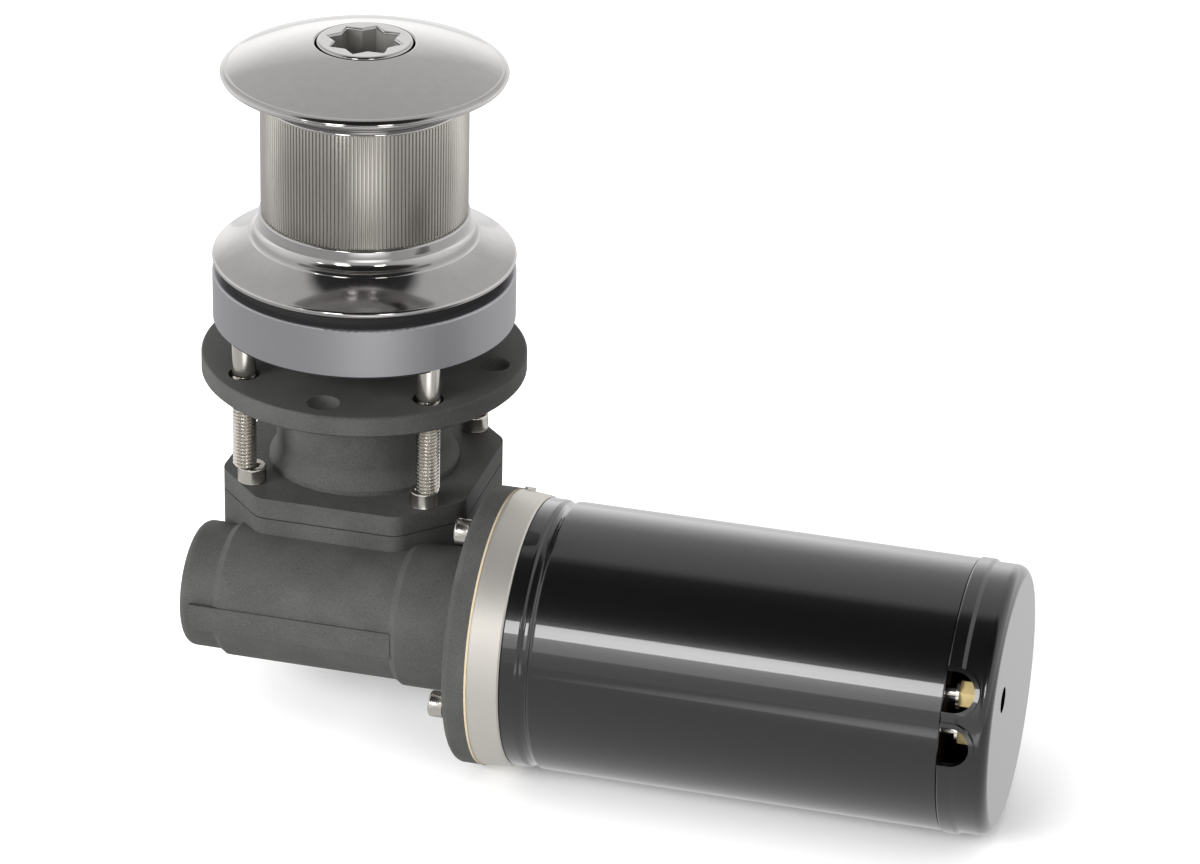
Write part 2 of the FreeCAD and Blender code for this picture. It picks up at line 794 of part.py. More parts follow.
def worm_thread():
    """Right-handed thread of one start with straight flanks, cut off square at both ends."""
    half_pitch_w = (math.pi * module / 2 - backlash / 2) / 2
    slope = math.tan(pressure_angle)
    root_r = worm_root_r - worm_thread_bed[0]
    root_w = half_pitch_w + (worm_pitch_r - root_r) * slope
    tip_w = half_pitch_w - (worm_tip_r - worm_pitch_r) * slope
    turns = math.ceil(worm_thread_l / lead) + 1
    low = -turns * lead / 2
    helix = Part.makeHelix(lead, turns * lead, worm_pitch_r)
    profile = outline((root_r, -root_w), (worm_tip_r, -tip_w), (worm_tip_r, tip_w), (root_r, root_w))
    thread = Part.Wire(helix.Edges).makePipeShell([profile], True, True)
    thread.translate(Vector(0, 0, low))
    if turns % 2:
        thread.rotate(Vector(0, 0, 0), Vector(0, 0, 1), 180)
    trim = tube(worm_root_r - worm_thread_bed[1], worm_tip_r + 1, -worm_thread_l / 2, worm_thread_l / 2)
    return thread.common(trim)


def worm_shaft():
    """Worm in one piece with its shaft: two bearing seats, collars and the coupling's seat."""
    left_end = worm_left_x + worm_left_bearing[2]
    right_slope_x = worm_right_x - worm_collar_l
    left_r, right_r = worm_left_bearing[0], worm_right_bearing[0]
    left_collar_r, right_collar_r = left_r + worm_collar, right_r + worm_right_collar
    tip_x = worm_left_x - worm_end_gap
    end_x = coupling_x + coupling_l / 2 - end_gap
    body = turned(
        (0, tip_x), (left_r - worm_end_gap, tip_x), (left_r, worm_left_x),
        (left_r, left_end), (left_collar_r, left_end), (left_collar_r, left_end + worm_collar_l),
        (worm_root_r, left_end + worm_collar_l + worm_slope_l),
        (worm_root_r, right_slope_x - worm_slope_l), (right_collar_r, right_slope_x),
        (right_collar_r, worm_right_x), (right_r, worm_right_x), (right_r, coupling_x),
        (coupling_seat_r, coupling_x),
        (coupling_seat_r, end_x), (0, end_x),
    )
    thread = worm_thread()
    thread.rotate(Vector(0, 0, 0), Vector(0, 0, 1), 90)
    return on_worm_axis(body.fuse(thread))


def shaft_coupling():
    """Sleeve that joins the worm to the armature shaft."""
    high = coupling_x + coupling_l
    body = rod(coupling_r, coupling_x, high)
    worm_side = rod(coupling_seat_r, coupling_x - 1, coupling_x + coupling_l / 2)
    motor_side = rod(armature_bearing[0], coupling_x, high + 1)
    return on_worm_axis(body.cut([worm_side, motor_side]))


def armature_shaft():
    """Motor shaft from the coupling to the rear bearing."""
    low = coupling_x + coupling_l / 2
    high = rear_boss_x - shaft_end_gap
    end_r = armature_bearing[0]
    step_low = bell_x + bell_lip_t + armature_bearing[2]
    step_high = rear_bearing_x
    return on_worm_axis(turned(
        (0, low), (end_r, low), (end_r, step_low), (core_seat_r, step_low), (core_seat_r, step_high),
        (end_r, step_high), (end_r, high), (0, high),
    ))


def armature_core():
    """Laminated core with open slots for the coils."""
    high = core_x + core_l
    body = tube(core_seat_r, core_r, core_x, high)
    slot = block(core_r - slot_depth, core_r + 1, -slot_w / 2, slot_w / 2, core_x - 1, high + 1)
    return on_worm_axis(body.cut(around(slot, slot_count)))


def armature_windings():
    """Coils: bars in the slots and a bulge at each end of the core."""
    high = core_x + core_l
    low_r = core_r - slot_depth + coil_gap
    bar_half = slot_w / 2 - coil_gap
    bar = block(low_r, core_r - coil_sink, -bar_half, bar_half, core_x - coil_gap, high + coil_gap)
    bulges = []
    for near, far in ((core_x, core_x - coil_bulge_l), (high, high + coil_bulge_l)):
        start, corner = round_corner(
            (coil_bulge_r, near), (coil_bulge_r, far), (coil_inner_r, far), coil_bulge_l * coil_round)
        bulges.append(turned((coil_inner_r, near), (coil_bulge_r, near), start, corner, (coil_inner_r, far)))
    body = bulges[0].fuse(bulges[1:] + around(bar, slot_count))
    return on_worm_axis(body)


def commutator():
    """Copper commutator with its segments marked off by grooves."""
    high = commutator_x + riser_l + commutator_l
    body = turned(
        (core_seat_r, commutator_x), (riser_r, commutator_x), (riser_r, commutator_x + riser_l),
        (commutator_r, commutator_x + riser_l), (commutator_r, high), (core_seat_r, high),
    )
    groove = block(commutator_r - segment_groove_d, riser_r + 1, -segment_groove_w / 2, segment_groove_w / 2,
                   commutator_x - 1, high + 1)
    return on_worm_axis(body.cut(around(groove, segment_count)))


def gearbox_cover():
    """Under-deck flange, neck and eight-sided plate in one casting, bored for bearing and seal."""
    bearing_r = upper_bearing[1]
    shoulder_r = bearing_r - seal_shoulder
    spigot_r = pot_bore_r - spigot_gap
    low = parting_z - spigot_h
    flare_z = plate_top_z + neck_foot_h
    top_start, top_edge = round_corner(
        (flange_r, flange_bottom_z), (flange_r, flange_top_z), (upper_seal_r, flange_top_z), flange_edge)
    body = turned(
        (bearing_r, low), (spigot_r, low), (spigot_r, plate_top_z - 1),
        (neck_foot_r, plate_top_z - 1), (neck_foot_r, plate_top_z + neck_foot_step),
        ((neck_r + neck_foot_bend[0], flare_z - neck_foot_bend[1]), (neck_r, flare_z + neck_foot_run)),
        (neck_r, flange_bottom_z), (flange_r - flange_edge, flange_bottom_z),
        (flange_r, flange_bottom_z + flange_edge), top_start, top_edge,
        (upper_seal_r, flange_top_z), (upper_seal_r, upper_seal_z), (shoulder_r, upper_seal_z),
        (shoulder_r, upper_bearing_top_z), (bearing_r, upper_bearing_top_z),
    )
    plate = octagon(plate_half, plate_cut, plate_corner_r, parting_z, plate_top_z)
    solid = body.fuse(plate.cut(rod(neck_foot_r - 1, parting_z - 1, plate_top_z + 1)))
    holes = [rod(stud_hole_r, flange_bottom_z - 1, flange_top_z + 1, x, y)
             for x, y in polar_points(stud_count, stud_r, 45)]
    holes += [rod(spare_hole_r, flange_bottom_z - 1, flange_top_z + 1, x, y)
              for x, y in polar_points(stud_count, stud_r)]
    holes += [rod(cover_screw_r + screw_clear, parting_z - 1, plate_top_z + 1, x, y)
              for x, y in cover_screw_places()]
    return solid.cut(holes).removeSplitter()


def cover_screw_places():
    """Centres of the four screws that hold the cover."""
    return [(x * cover_screw_xy, y * cover_screw_xy) for x in (-1, 1) for y in (-1, 1)]


def cover_gasket():
    """Paper gasket between cover and housing."""
    plate = octagon(plate_half - cover_gasket_t, plate_cut, plate_corner_r, housing_top_z, parting_z)
    holes = [rod(cover_screw_r + screw_clear, housing_top_z - 1, parting_z + 1, x, y)
             for x, y in cover_screw_places()]
    return plate.cut([rod(pot_bore_r, housing_top_z - 1, parting_z + 1)] + holes)


def cover_screws():
    """Four socket cap screws through the cover into the housing."""
    screw = cap_screw(cover_screw_r, cover_screw_l, cover_head_r, cover_head_h, cover_hex_flats)
    return [moved(screw, x, y, plate_top_z) for x, y in cover_screw_places()]


def worm_tube():
    """Outside of the worm tube and the motor flange, along Z before it is laid down."""
    flange_low = motor_flange_x
    end_start, end_arc = round_corner(
        (0, tube_end_x), (tube_end_r, tube_end_x), (tube_end_r, 0), tube_end_round)
    rim_start, rim_arc = round_corner(
        (0, flange_low), (motor_flange_r, flange_low), (motor_flange_r, gasket_x), motor_flange_round)
    fillet_out = tube_neck_r + flange_fillet
    share = 1 - math.sqrt(0.5)
    return turned(
        (0, tube_end_x), end_start, end_arc, (tube_end_r, tube_step_x - tube_step_l), (tube_r, tube_step_x),
        (tube_r, tube_neck_x), (tube_neck_r, tube_neck_x + tube_step_l),
        (tube_neck_r, flange_low - flange_fillet),
        ((tube_neck_r + flange_fillet * share, flange_low - flange_fillet * share), (fillet_out, flange_low)),
        rim_start, rim_arc, (motor_flange_r, gasket_x), (0, gasket_x),
    )


def tube_pad():
    """Raised lengthwise pad low on the front of the worm tube."""
    high = tube_neck_x + pad_proud
    ring = tube(tube_end_r - 2, tube_r + pad_proud, pad_start_x, high)
    start = math.radians(local_deg(pad_high_deg))
    end = math.radians(local_deg(pad_low_deg))
    reach = 2 * tube_r
    sides = [(reach * math.cos(turn), reach * math.sin(turn)) for turn in (start, end)]
    return ring.common(prism([(0, 0)] + sides, pad_start_x, high))


def gear_housing():
    """Eight-sided pot for the worm wheel, worm tube and motor flange in one casting."""
    side_low = housing_top_z - pot_side_h
    pot = octagon(plate_half, plate_cut, plate_corner_r, side_low, housing_top_z)
    rim = [e for e in pot.Edges if abs(e.CenterOfMass.z - side_low) < 0.01]
    pot = pot.makeChamfer(pot_edge, rim)
    boss = rod(pot_boss_r, pot_bottom_z, side_low + 1)
    outside = pot.fuse([boss, on_worm_axis(worm_tube()), on_worm_axis(tube_pad())])
    right_pocket_r = worm_right_bearing[1]
    cavity = [
        rod(pot_bore_r, pot_floor_z, housing_top_z + 1),
        rod(lower_bearing[1], lower_bearing_z, pot_floor_z + 1),
        on_worm_axis(rod(worm_left_bearing[0] + worm_end_room, worm_left_x - 1, worm_left_x + 1)),
        on_worm_axis(rod(worm_left_bearing[1], worm_left_x, worm_left_x + worm_left_bearing[2])),
        on_worm_axis(rod(worm_bore_r, worm_left_x + 1, worm_right_x + 1)),
        on_worm_axis(rod(right_pocket_r, worm_right_x, gasket_x + 1)),
        on_worm_axis(rod(bell_spigot_r, gasket_x - bell_spigot_h - end_gap, gasket_x + 1)),
    ]
    holes = [rod(cover_screw_r, plate_top_z - cover_screw_l, housing_top_z + 1, x, y)
             for x, y in cover_screw_places()]
    for x, y in motor_screw_places():
        hole_r = motor_screw_r + screw_clear
        holes.append(on_worm_axis(rod(hole_r, motor_flange_x - 1, gasket_x + 1, x, y)))
    return outside.cut(cavity + holes).removeSplitter()


def motor_screw_places():
    """Centres of the motor's screws about the worm axis, before they are laid down."""
    return polar_points(motor_screw_count, motor_screw_circle_r, local_deg(motor_screw_first_deg))


def motor_screws():
    """Four socket cap screws from the gearbox side into the motor's end bell."""
    screw = cap_screw(motor_screw_r, motor_screw_l, motor_head_r, motor_head_h, motor_hex_flats)
    screw.rotate(Vector(0, 0, 0), Vector(1, 0, 0), 180)
    return [on_worm_axis(moved(screw, x, y, motor_flange_x)) for x, y in motor_screw_places()]


def motor_gasket():
    """Tan gasket between motor flange and end bell."""
    ring = tube(bell_spigot_r, motor_flange_r, gasket_x, bell_x)
    hole_r = motor_screw_r + screw_clear
    holes = [rod(hole_r, gasket_x - 1, bell_x + 1, x, y) for x, y in motor_screw_places()]
    return on_worm_axis(ring.cut(holes))


def end_bell():
    """Aluminium front end bell of the motor, with a spigot on each side and the front bearing's seat."""
    high = bell_x + bell_t
    case_in_r = case_r - case_wall
    bearing_r = armature_bearing[1]
    nose_x = gasket_x - bell_spigot_h
    bore_r = coupling_r + bell_bore_gap
    shoulder_r = bell_r - bell_rear_edge[0]
    collar_r = case_in_r - bell_collar_t
    seat_r = bearing_r + bell_seat_wall
    body = turned(
        (bore_r, nose_x), (bell_spigot_r - spigot_gap, nose_x), (bell_spigot_r - spigot_gap, bell_x),
        (motor_flange_r - bell_front_edge[0], bell_x), (bell_r, bell_x + bell_front_edge[1]),
        (shoulder_r, high - bell_rear_edge[1]), (shoulder_r - bell_rear_slope, high),
        (case_in_r, high), (case_in_r, high + bell_collar_l), (collar_r, high + bell_collar_l),
        (collar_r, high), (seat_r, high), (seat_r, high + bell_seat_h), (bearing_r, high + bell_seat_h),
        (bearing_r, bell_x + bell_lip_t), (bore_r, bell_x + bell_lip_t),
    )
    lug = rod(lug_r, bell_r - 1, bell_r + lug_proud)
    lug.rotate(Vector(0, 0, 0), Vector(0, 1, 0), 90)
    lug = moved(spun(lug, local_deg(lug_deg)), 0, 0, bell_x + lug_x)
    screw_end_x = motor_flange_x + motor_screw_l
    holes = [rod(motor_screw_r, bell_x - 1, screw_end_x, x, y) for x, y in motor_screw_places()]
    return on_worm_axis(body.fuse(lug).cut(holes))


def motor_case():
    """Steel tube of the motor with a rolled groove near its front."""
    inner_r = case_r - case_wall
    groove_low = case_x + bead_x - bead_w / 2
    groove_high = case_x + bead_x + bead_w / 2
    return on_worm_axis(turned(
        (inner_r, case_x), (case_r - case_edge[0], case_x), (case_r, case_x + case_edge[1]),
        (case_r, groove_low),
        ((case_r - bead_depth, case_x + bead_x), (case_r, groove_high)), (case_r, seam_x), (inner_r, seam_x),
    ))


def magnets():
    """Four curved magnets fixed inside the case."""
    outer_r = case_r - case_wall
    low = case_x + magnet_x
    sector = Part.makeCylinder(outer_r, magnet_l, Vector(0, 0, low), Vector(0, 0, 1), magnet_deg)
    magnet = sector.cut(rod(outer_r - magnet_t, low - 1, low + magnet_l + 1))
    return [on_worm_axis(m) for m in around(magnet, magnet_count, -magnet_deg / 2)]


def brush_plate():
    """Insulating plate across the rear of the case that carries brushes and terminals."""
    high = brush_plate_x + brush_plate_t
    ring = tube(brush_plate_bore_r, case_r - case_wall, brush_plate_x, high)
    holes = [rod(terminal_r, brush_plate_x - 1, high + 1, x, y) for x, y in terminal_places()]
    return on_worm_axis(ring.cut(holes))


def brush_box():
    """Open box along the radius that guides one brush."""
    half = brush_box_w / 2
    inner_half = half - brush_box_wall
    low_r = commutator_r + brush_box_gap
    low = brush_plate_x - brush_box_h
    outside = block(low_r, low_r + brush_box_l, -half, half, low, brush_plate_x)
    inside = block(low_r - 1, low_r + brush_box_l + 1, -inner_half, inner_half,
                   low + brush_box_wall, brush_plate_x - brush_box_wall)
    return outside.cut(inside)


def brush_holders():
    """Four brush boxes on the brush plate."""
    return [on_worm_axis(b) for b in around(brush_box(), brush_count, 45)]


def brushes():
    """Four carbon brushes that bear on the commutator."""
    half = brush_box_w / 2 - brush_box_wall
    low = brush_plate_x - brush_box_h + brush_box_wall
    high = brush_plate_x - brush_box_wall
    block_end = commutator_r + brush_box_gap + brush_box_l * brush_reach
    brush = block(commutator_r - brush_box_gap, block_end, -half, half, low, high).cut(
        rod(commutator_r + run_gap, low - 1, high + 1))
    return [on_worm_axis(b) for b in around(brush, brush_count, 45)]


def terminal_places():
    """Centres of the motor's two terminals about the worm axis, before they are laid down."""
    return [p for inset, rise in zip(terminal_inset, terminal_deg)
            for p in polar_points(1, case_r - inset, local_deg(rise))]


def terminal_studs():
    """Two threaded terminal studs that stand on the brush plate."""
    high = brush_plate_x + terminal_l
    return [on_worm_axis(rod(terminal_r, brush_plate_x, high, x, y)) for x, y in terminal_places()]


def terminal_washers():
    """Plain washers under the terminal nuts."""
    low = brush_plate_x + terminal_l - terminal_proud - terminal_nut_t - terminal_washer_t
    ring = tube(terminal_r, terminal_washer_r, low, low + terminal_washer_t)
    return [on_worm_axis(moved(ring, x, y)) for x, y in terminal_places()]


def terminal_nuts():
    """Brass hexagon nuts on the terminals."""
    low = brush_plate_x + terminal_l - terminal_proud - terminal_nut_t
    high = low + terminal_nut_t
    nut = hexagon(terminal_nut_flats, low, high).cut(rod(terminal_r, low - 1, high + 1))
    return [on_worm_axis(moved(nut, x, y)) for x, y in terminal_places()]


def outlet_shape(width, length, low_r, high_r, rise_deg):
    """Tongue-shaped block along the radius, open towards the seam and round at its far end."""
    half = width / 2
    straight = seam_x + length - half
    body = block(low_r, high_r, -half, half, seam_x - 1, straight)
    end = Part.makeCylinder(half, high_r - low_r, Vector(low_r, 0, straight), Vector(1, 0, 0))
    return spun(body.fuse(end), local_deg(rise_deg))


def end_cap():
    """Cup that closes the rear of the motor, with the bearing's boss and two cable outlets at the seam."""
    inner_x = rear_boss_x
    boss_in_r = rear_bearing[1]
    boss_r = boss_in_r + cap_boss_wall
    band_end = seam_x + cap_band_l
    start, corner = round_corner((cap_r, seam_x), (cap_r, cap_end_x), (0, cap_end_x), cap_round)
    body = turned(
        (0, cap_end_x), (0, inner_x), (boss_in_r, inner_x), (boss_in_r, rear_bearing_x),
        (boss_r, rear_bearing_x), (boss_r, inner_x), (cap_inner_r, inner_x), (cap_inner_r, seam_x),
        (cap_band_r - cap_band_edge, seam_x),
        (cap_band_r, seam_x + cap_band_edge), (cap_band_r, band_end), (cap_r, band_end + cap_band_slope),
        start, corner,
    )
    rim_ring = tube(cap_r - 1, cap_band_r + outlet_rim_proud, seam_x, cap_end_x)
    rim_w, rim_l = outlet_w + 2 * outlet_rim_w, outlet_l + outlet_rim_w
    bed_r, far_r = cap_r - outlet_rim_bed, cap_r + outlet_reach
    rims = [outlet_shape(rim_w, rim_l, bed_r, far_r, deg).common(rim_ring) for deg in outlet_deg]
    slots = [outlet_shape(outlet_w, outlet_l, cap_r - outlet_reach, far_r, deg) for deg in outlet_deg]
    hole = [rod(cap_hole_r, inner_x - 1, cap_end_x + 1, x, y)
            for x, y in polar_points(1, cap_r - cap_hole_inset, local_deg(cap_hole_deg))]
    return on_worm_axis(body.fuse(rims).cut(slots + hole))


def bearings():
    """All ball bearings, as node names with their two rings in place."""
    found = {}
    for name, size, low in (("upper_bearing", upper_bearing, upper_bearing_z),
                            ("lower_bearing", lower_bearing, lower_bearing_z)):
        found[name + "_outer"], found[name + "_inner"] = bearing_rings(size, low)
    for name, size, low in (("worm_bearing_left", worm_left_bearing, worm_left_x),
                            ("worm_bearing_right", worm_right_bearing, worm_right_x),
                            ("armature_bearing", armature_bearing, bell_x + bell_lip_t),
                            ("rear_bearing", rear_bearing, rear_bearing_x)):
        outer, inner = bearing_rings(size, low)
        found[name + "_outer"] = on_worm_axis(outer)
        found[name + "_inner"] = on_worm_axis(inner)
    return found


def upper_oil_seal():
    """Shaft seal in the top of the neck."""
    return lip_seal(shaft_r, upper_seal_r, upper_seal_z, upper_seal_z + upper_seal_t)


def worm_oil_seal():
    """Shaft seal that keeps the gearbox oil out of the motor."""
    low = worm_right_x + worm_right_bearing[2]
    return on_worm_axis(lip_seal(worm_right_bearing[0], worm_right_bearing[1], low, low + worm_seal_t))


def main():
    """Builds every sub-part and writes it to its own file."""
    os.makedirs("parts", exist_ok=True)
    pieces = (
        base_ring, deck_gasket, base_seal_ring, base_bush, mounting_studs, drum, star_nut, nut_washer,
        lower_clutch_cone, upper_clutch_cone, cone_keys, main_shaft, shaft_circlip, shaft_spacer, wheel_key,
        worm_wheel, worm_shaft, shaft_coupling, gearbox_cover, cover_gasket, cover_screws, gear_housing,
        upper_oil_seal, worm_oil_seal, motor_screws, motor_gasket, end_bell, motor_case, magnets,
        armature_shaft, armature_core, armature_windings, commutator, brush_plate, brush_holders, brushes,
        terminal_studs, terminal_washers, terminal_nuts, end_cap,
    )
    for piece in pieces:
        export(piece.__name__, piece())
    for name, shape in bearings().items():
        export(name, shape)


main()
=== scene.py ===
"""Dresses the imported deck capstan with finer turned, threaded and pressed pieces, finishes and a studio.

All lengths are metres in the row frame. +Z is up along the drum, z = 0 is the deck, +X runs along the motor.
"""

import bpy
import numpy as np
from bpy.props import FloatProperty, FloatVectorProperty, IntProperty, PointerProperty
from bpy.types import Operator, Panel, PropertyGroup
from mathutils import Matrix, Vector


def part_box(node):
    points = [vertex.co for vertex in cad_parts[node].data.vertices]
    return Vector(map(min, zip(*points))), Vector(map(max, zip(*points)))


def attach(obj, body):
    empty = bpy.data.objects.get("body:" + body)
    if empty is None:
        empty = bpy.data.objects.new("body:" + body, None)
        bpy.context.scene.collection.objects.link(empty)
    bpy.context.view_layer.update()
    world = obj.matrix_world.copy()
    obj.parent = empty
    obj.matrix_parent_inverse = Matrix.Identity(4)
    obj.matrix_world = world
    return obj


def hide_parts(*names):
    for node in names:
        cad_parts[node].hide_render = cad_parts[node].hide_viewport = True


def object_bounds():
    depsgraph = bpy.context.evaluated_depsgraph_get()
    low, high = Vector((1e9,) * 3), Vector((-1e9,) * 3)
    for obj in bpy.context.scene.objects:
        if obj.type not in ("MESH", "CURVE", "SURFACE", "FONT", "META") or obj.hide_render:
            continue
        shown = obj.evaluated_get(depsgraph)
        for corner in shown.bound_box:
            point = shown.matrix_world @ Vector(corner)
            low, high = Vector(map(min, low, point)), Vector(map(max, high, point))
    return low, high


bl_info = {
    "name": "Deck capstan looks",
    "version": (1, 0, 0),
    "blender": (4, 2, 0),
    "location": "3D View > Sidebar > Capstan",
    "description": "Builds the visible pieces, the finishes and the studio of a vertical deck capstan",
    "category": "Object",
}

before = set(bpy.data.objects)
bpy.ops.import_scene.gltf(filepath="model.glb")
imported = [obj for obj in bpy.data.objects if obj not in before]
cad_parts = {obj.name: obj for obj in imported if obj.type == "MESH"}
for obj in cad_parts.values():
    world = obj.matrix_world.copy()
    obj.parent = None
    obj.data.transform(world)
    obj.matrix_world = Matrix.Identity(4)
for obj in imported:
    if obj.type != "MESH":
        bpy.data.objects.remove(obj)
CAD_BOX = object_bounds()

MM = 0.001

# Levels and radii read from the frame, so that the new surfaces follow the CAD part
DRUM_LOW, DRUM_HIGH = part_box("drum")
NUT_LOW, NUT_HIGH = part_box("star_nut")
STUD_LOW, STUD_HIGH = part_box("mounting_studs")
CASE_LOW, CASE_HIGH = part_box("motor_case")
FLANGE_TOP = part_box("gearbox_cover")[1].z
FLOOR_Z = CAD_BOX[0][2]
MOTOR_Y = -40.0 * MM
MOTOR_Z = (CASE_LOW.z + CASE_HIGH.z) / 2

# The ribbed band of the drum, over the drum's lowest point
RIBS_START = 17.0 * MM
RIBS_LENGTH = 39.7 * MM

# Star nut: the bore of its thread, and the height of its wide top over the narrower neck
NUT_BORE = 9.05 * MM
NUT_TOP_HEIGHT = 8.8 * MM

# Studs and screws: circles, places, shanks, hexagon keys and lengths
STUD_CIRCLE = 44.5 * MM
STUD_TURNS = (45.0, 135.0, 225.0, 315.0)
STUD_SHANK = 3.9 * MM
COVER_SCREW_PLACE = 29.7 * MM
COVER_SCREW_RADIUS, COVER_SCREW_KEY, COVER_SCREW_LENGTH = 3.0 * MM, 5.0 * MM, 16.0 * MM
MOTOR_SCREW_CIRCLE = 39.8 * MM
MOTOR_SCREW_TURNS = (75.0, 165.0, 255.0, 345.0)
MOTOR_SCREW_RADIUS, MOTOR_SCREW_KEY, MOTOR_SCREW_HEAD = 2.5 * MM, 4.0 * MM, 5.0 * MM


# Sizes and colours that a user would change

def length(name, text, value):
    """One length property in metres."""
    return FloatProperty(name=name, description=text, default=value, unit="LENGTH", precision=5)


def colour(name, text, value):
    """One colour property."""
    return FloatVectorProperty(name=name, description=text, default=value, subtype="COLOR", size=3,
                               min=0, max=1)


def share(name, text, value):
    """One property between nothing and all."""
    return FloatProperty(name=name, description=text, default=value, min=0, max=1, subtype="FACTOR")


class CapstanDrumSettings(PropertyGroup):
    """Sizes of the drum and its star nut."""
    rib_count: IntProperty(name="Ribs", description="Fine upright ribs round the barrel", default=168, min=12)
    rib_depth: length("Rib depth", "Height of a rib over its valley", 0.45 * MM)
    barrel_radius: length("Barrel radius", "Radius over the ribs", 34.0 * MM)
    soft_edge: length("Edge softness", "Radius of the small roundings on the drum", 0.35 * MM)
    socket_flats: length("Socket size", "Width of the square handle that fits the socket", 17.46 * MM)
    socket_depth: length("Socket depth", "Depth of the handle socket", 20.0 * MM)


class CapstanScrewSettings(PropertyGroup):
    """Sizes of the studs and the socket screws."""
    stud_radius: length("Stud radius", "Outer radius of the stud's thread", 4.0 * MM)
    stud_pitch: length("Stud pitch", "Rise of the stud's thread in one turn", 1.25 * MM)
    cover_head: length("Cover screw head", "Radius of the cover screws' heads", 4.75 * MM)
    motor_head: length("Motor screw head", "Radius of the motor screws' heads", 4.25 * MM)


class CapstanFinishSettings(PropertyGroup):
    """Colours and gloss of the finishes."""
    polished: colour("Polished steel", "Colour of the head and the skirt", (0.45, 0.44, 0.435))
    barrel: colour("Barrel steel", "Colour of the ribbed barrel", (0.45, 0.43, 0.40))
    satin: colour("Satin steel", "Colour of the base ring", (0.415, 0.41, 0.43))
    casting: colour("Dark casting", "Colour of the gearbox castings", (0.049, 0.049, 0.0465))
    gloss_black: colour("Gloss black", "Colour of the motor's coating", (0.003, 0.003, 0.003))
    aluminium: colour("Aluminium", "Colour of the motor's front ring", (0.67, 0.645, 0.60))
    grain: share("Casting grain", "How strongly the castings' sand grain shows", 0.35)


class CapstanStudioSettings(PropertyGroup):
    """The camera and the lights."""
    lens: FloatProperty(name="Lens", description="Focal length on a 36 mm sensor", default=145.25,
                        unit="CAMERA")
    key: FloatProperty(name="Key light", description="Strength of the main lamp", default=40.0, unit="POWER")
    fill: FloatProperty(name="Fill light", description="Strength of the side lamp", default=4.0, unit="POWER")
    box: FloatProperty(name="Soft box", description="Strength of the lamps that mirrors show", default=3.4,
                       unit="POWER")
    ambient: share("Ambient", "Strength of the light from all around", 0.2)


class CapstanSettings(PropertyGroup):
    """Everything that the panel shows."""
    drum: PointerProperty(type=CapstanDrumSettings)
    screws: PointerProperty(type=CapstanScrewSettings)
    finishes: PointerProperty(type=CapstanFinishSettings)
    studio: PointerProperty(type=CapstanStudioSettings)


# Surfaces

def shell(rows, closed=False, start_pole=None, end_pole=None):
    """Corner points and faces of a stack of rings, an array shaped (rows, columns, 3).

    Each ring closes on itself. The stack closes on itself too, or ends in two fans of triangles
    round the poles. The faces are turned to give a positive volume, so they point outwards.
    """
    rows = np.asarray(rows, float)
    count, around, _ = rows.shape
    points = rows.reshape(-1, 3)
    index = np.arange(count * around).reshape(count, around)
    below = index if closed else index[:-1]
    above = np.roll(index, -1, 0) if closed else index[1:]
    quads = np.stack([below, np.roll(below, -1, 1), np.roll(above, -1, 1), above], -1).reshape(-1, 4)
    fans = []
    for pole, ring, flip in ((start_pole, index[0], True), (end_pole, index[-1], False)):
        if pole is not None:
            tip = np.full(around, len(points))
            points = np.vstack([points, pole])
            after = np.roll(ring, -1)
            fans.append(np.stack([after, ring, tip] if flip else [ring, after, tip], -1))
    triangles = np.vstack(fans) if fans else np.zeros((0, 3), int)
    split = np.vstack([quads[:, [0, 1, 2]], quads[:, [0, 2, 3]], triangles])
    a, b, c = (points[split[:, k]] for k in range(3))
    if np.einsum("ij,ij->i", a, np.cross(b, c)).sum() < 0:
        quads, triangles = quads[:, ::-1], triangles[:, ::-1]
    return points, quads, triangles


def make_piece(name, shells, finish, body, *nodes, crease=35.0):
    """One mesh object from its shells. It rides on a body and stands for the CAD nodes named."""
    points, loops, sizes, base = [], [], [], 0
    for corner, quads, triangles in shells:
        points.append(corner)
        loops += [(quads + base).ravel(), (triangles + base).ravel()]
        sizes += [np.full(len(quads), 4), np.full(len(triangles), 3)]
        base += len(corner)
    points, loops, sizes = np.vstack(points), np.concatenate(loops), np.concatenate(sizes)
    mesh = bpy.data.meshes.new(name)
    mesh.vertices.add(len(points))
    mesh.vertices.foreach_set("co", points.astype(np.float32).ravel())
    mesh.loops.add(len(loops))
    mesh.loops.foreach_set("vertex_index", loops.astype(np.int32))
    mesh.polygons.add(len(sizes))
    mesh.polygons.foreach_set("loop_start", (np.cumsum(sizes) - sizes).astype(np.int32))
    mesh.polygons.foreach_set("use_smooth", np.ones(len(sizes), bool))
    mesh.update(calc_edges=True)
    mesh.validate()
    mesh.set_sharp_from_angle(angle=np.radians(crease))
    piece = bpy.data.objects.new(name, mesh)
    bpy.context.scene.collection.objects.link(piece)
    mesh.materials.append(finish)
    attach(piece, body)
    if nodes:
        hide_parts(*nodes)
    return piece


def turns(columns):
    """Angles of the columns round an axis."""
    return np.arange(columns) * (2 * np.pi / columns)


def revolved(profile, columns=192):
    """Rings for a profile of (radius, height) turned about Z: x = r cos t, y = r sin t."""
    profile = np.asarray(profile, float)
    t = turns(columns)
    return np.stack([profile[:, :1] * np.cos(t), profile[:, :1] * np.sin(t),
                     np.repeat(profile[:, 1:], columns, 1)], -1)


def along_motor(points):
    """Lays points made about Z onto the motor's axis, with the height becoming x and x pointing up."""
    points = np.asarray(points, float)
    return np.stack([points[..., 2], MOTOR_Y - points[..., 1], MOTOR_Z + points[..., 0]], -1)


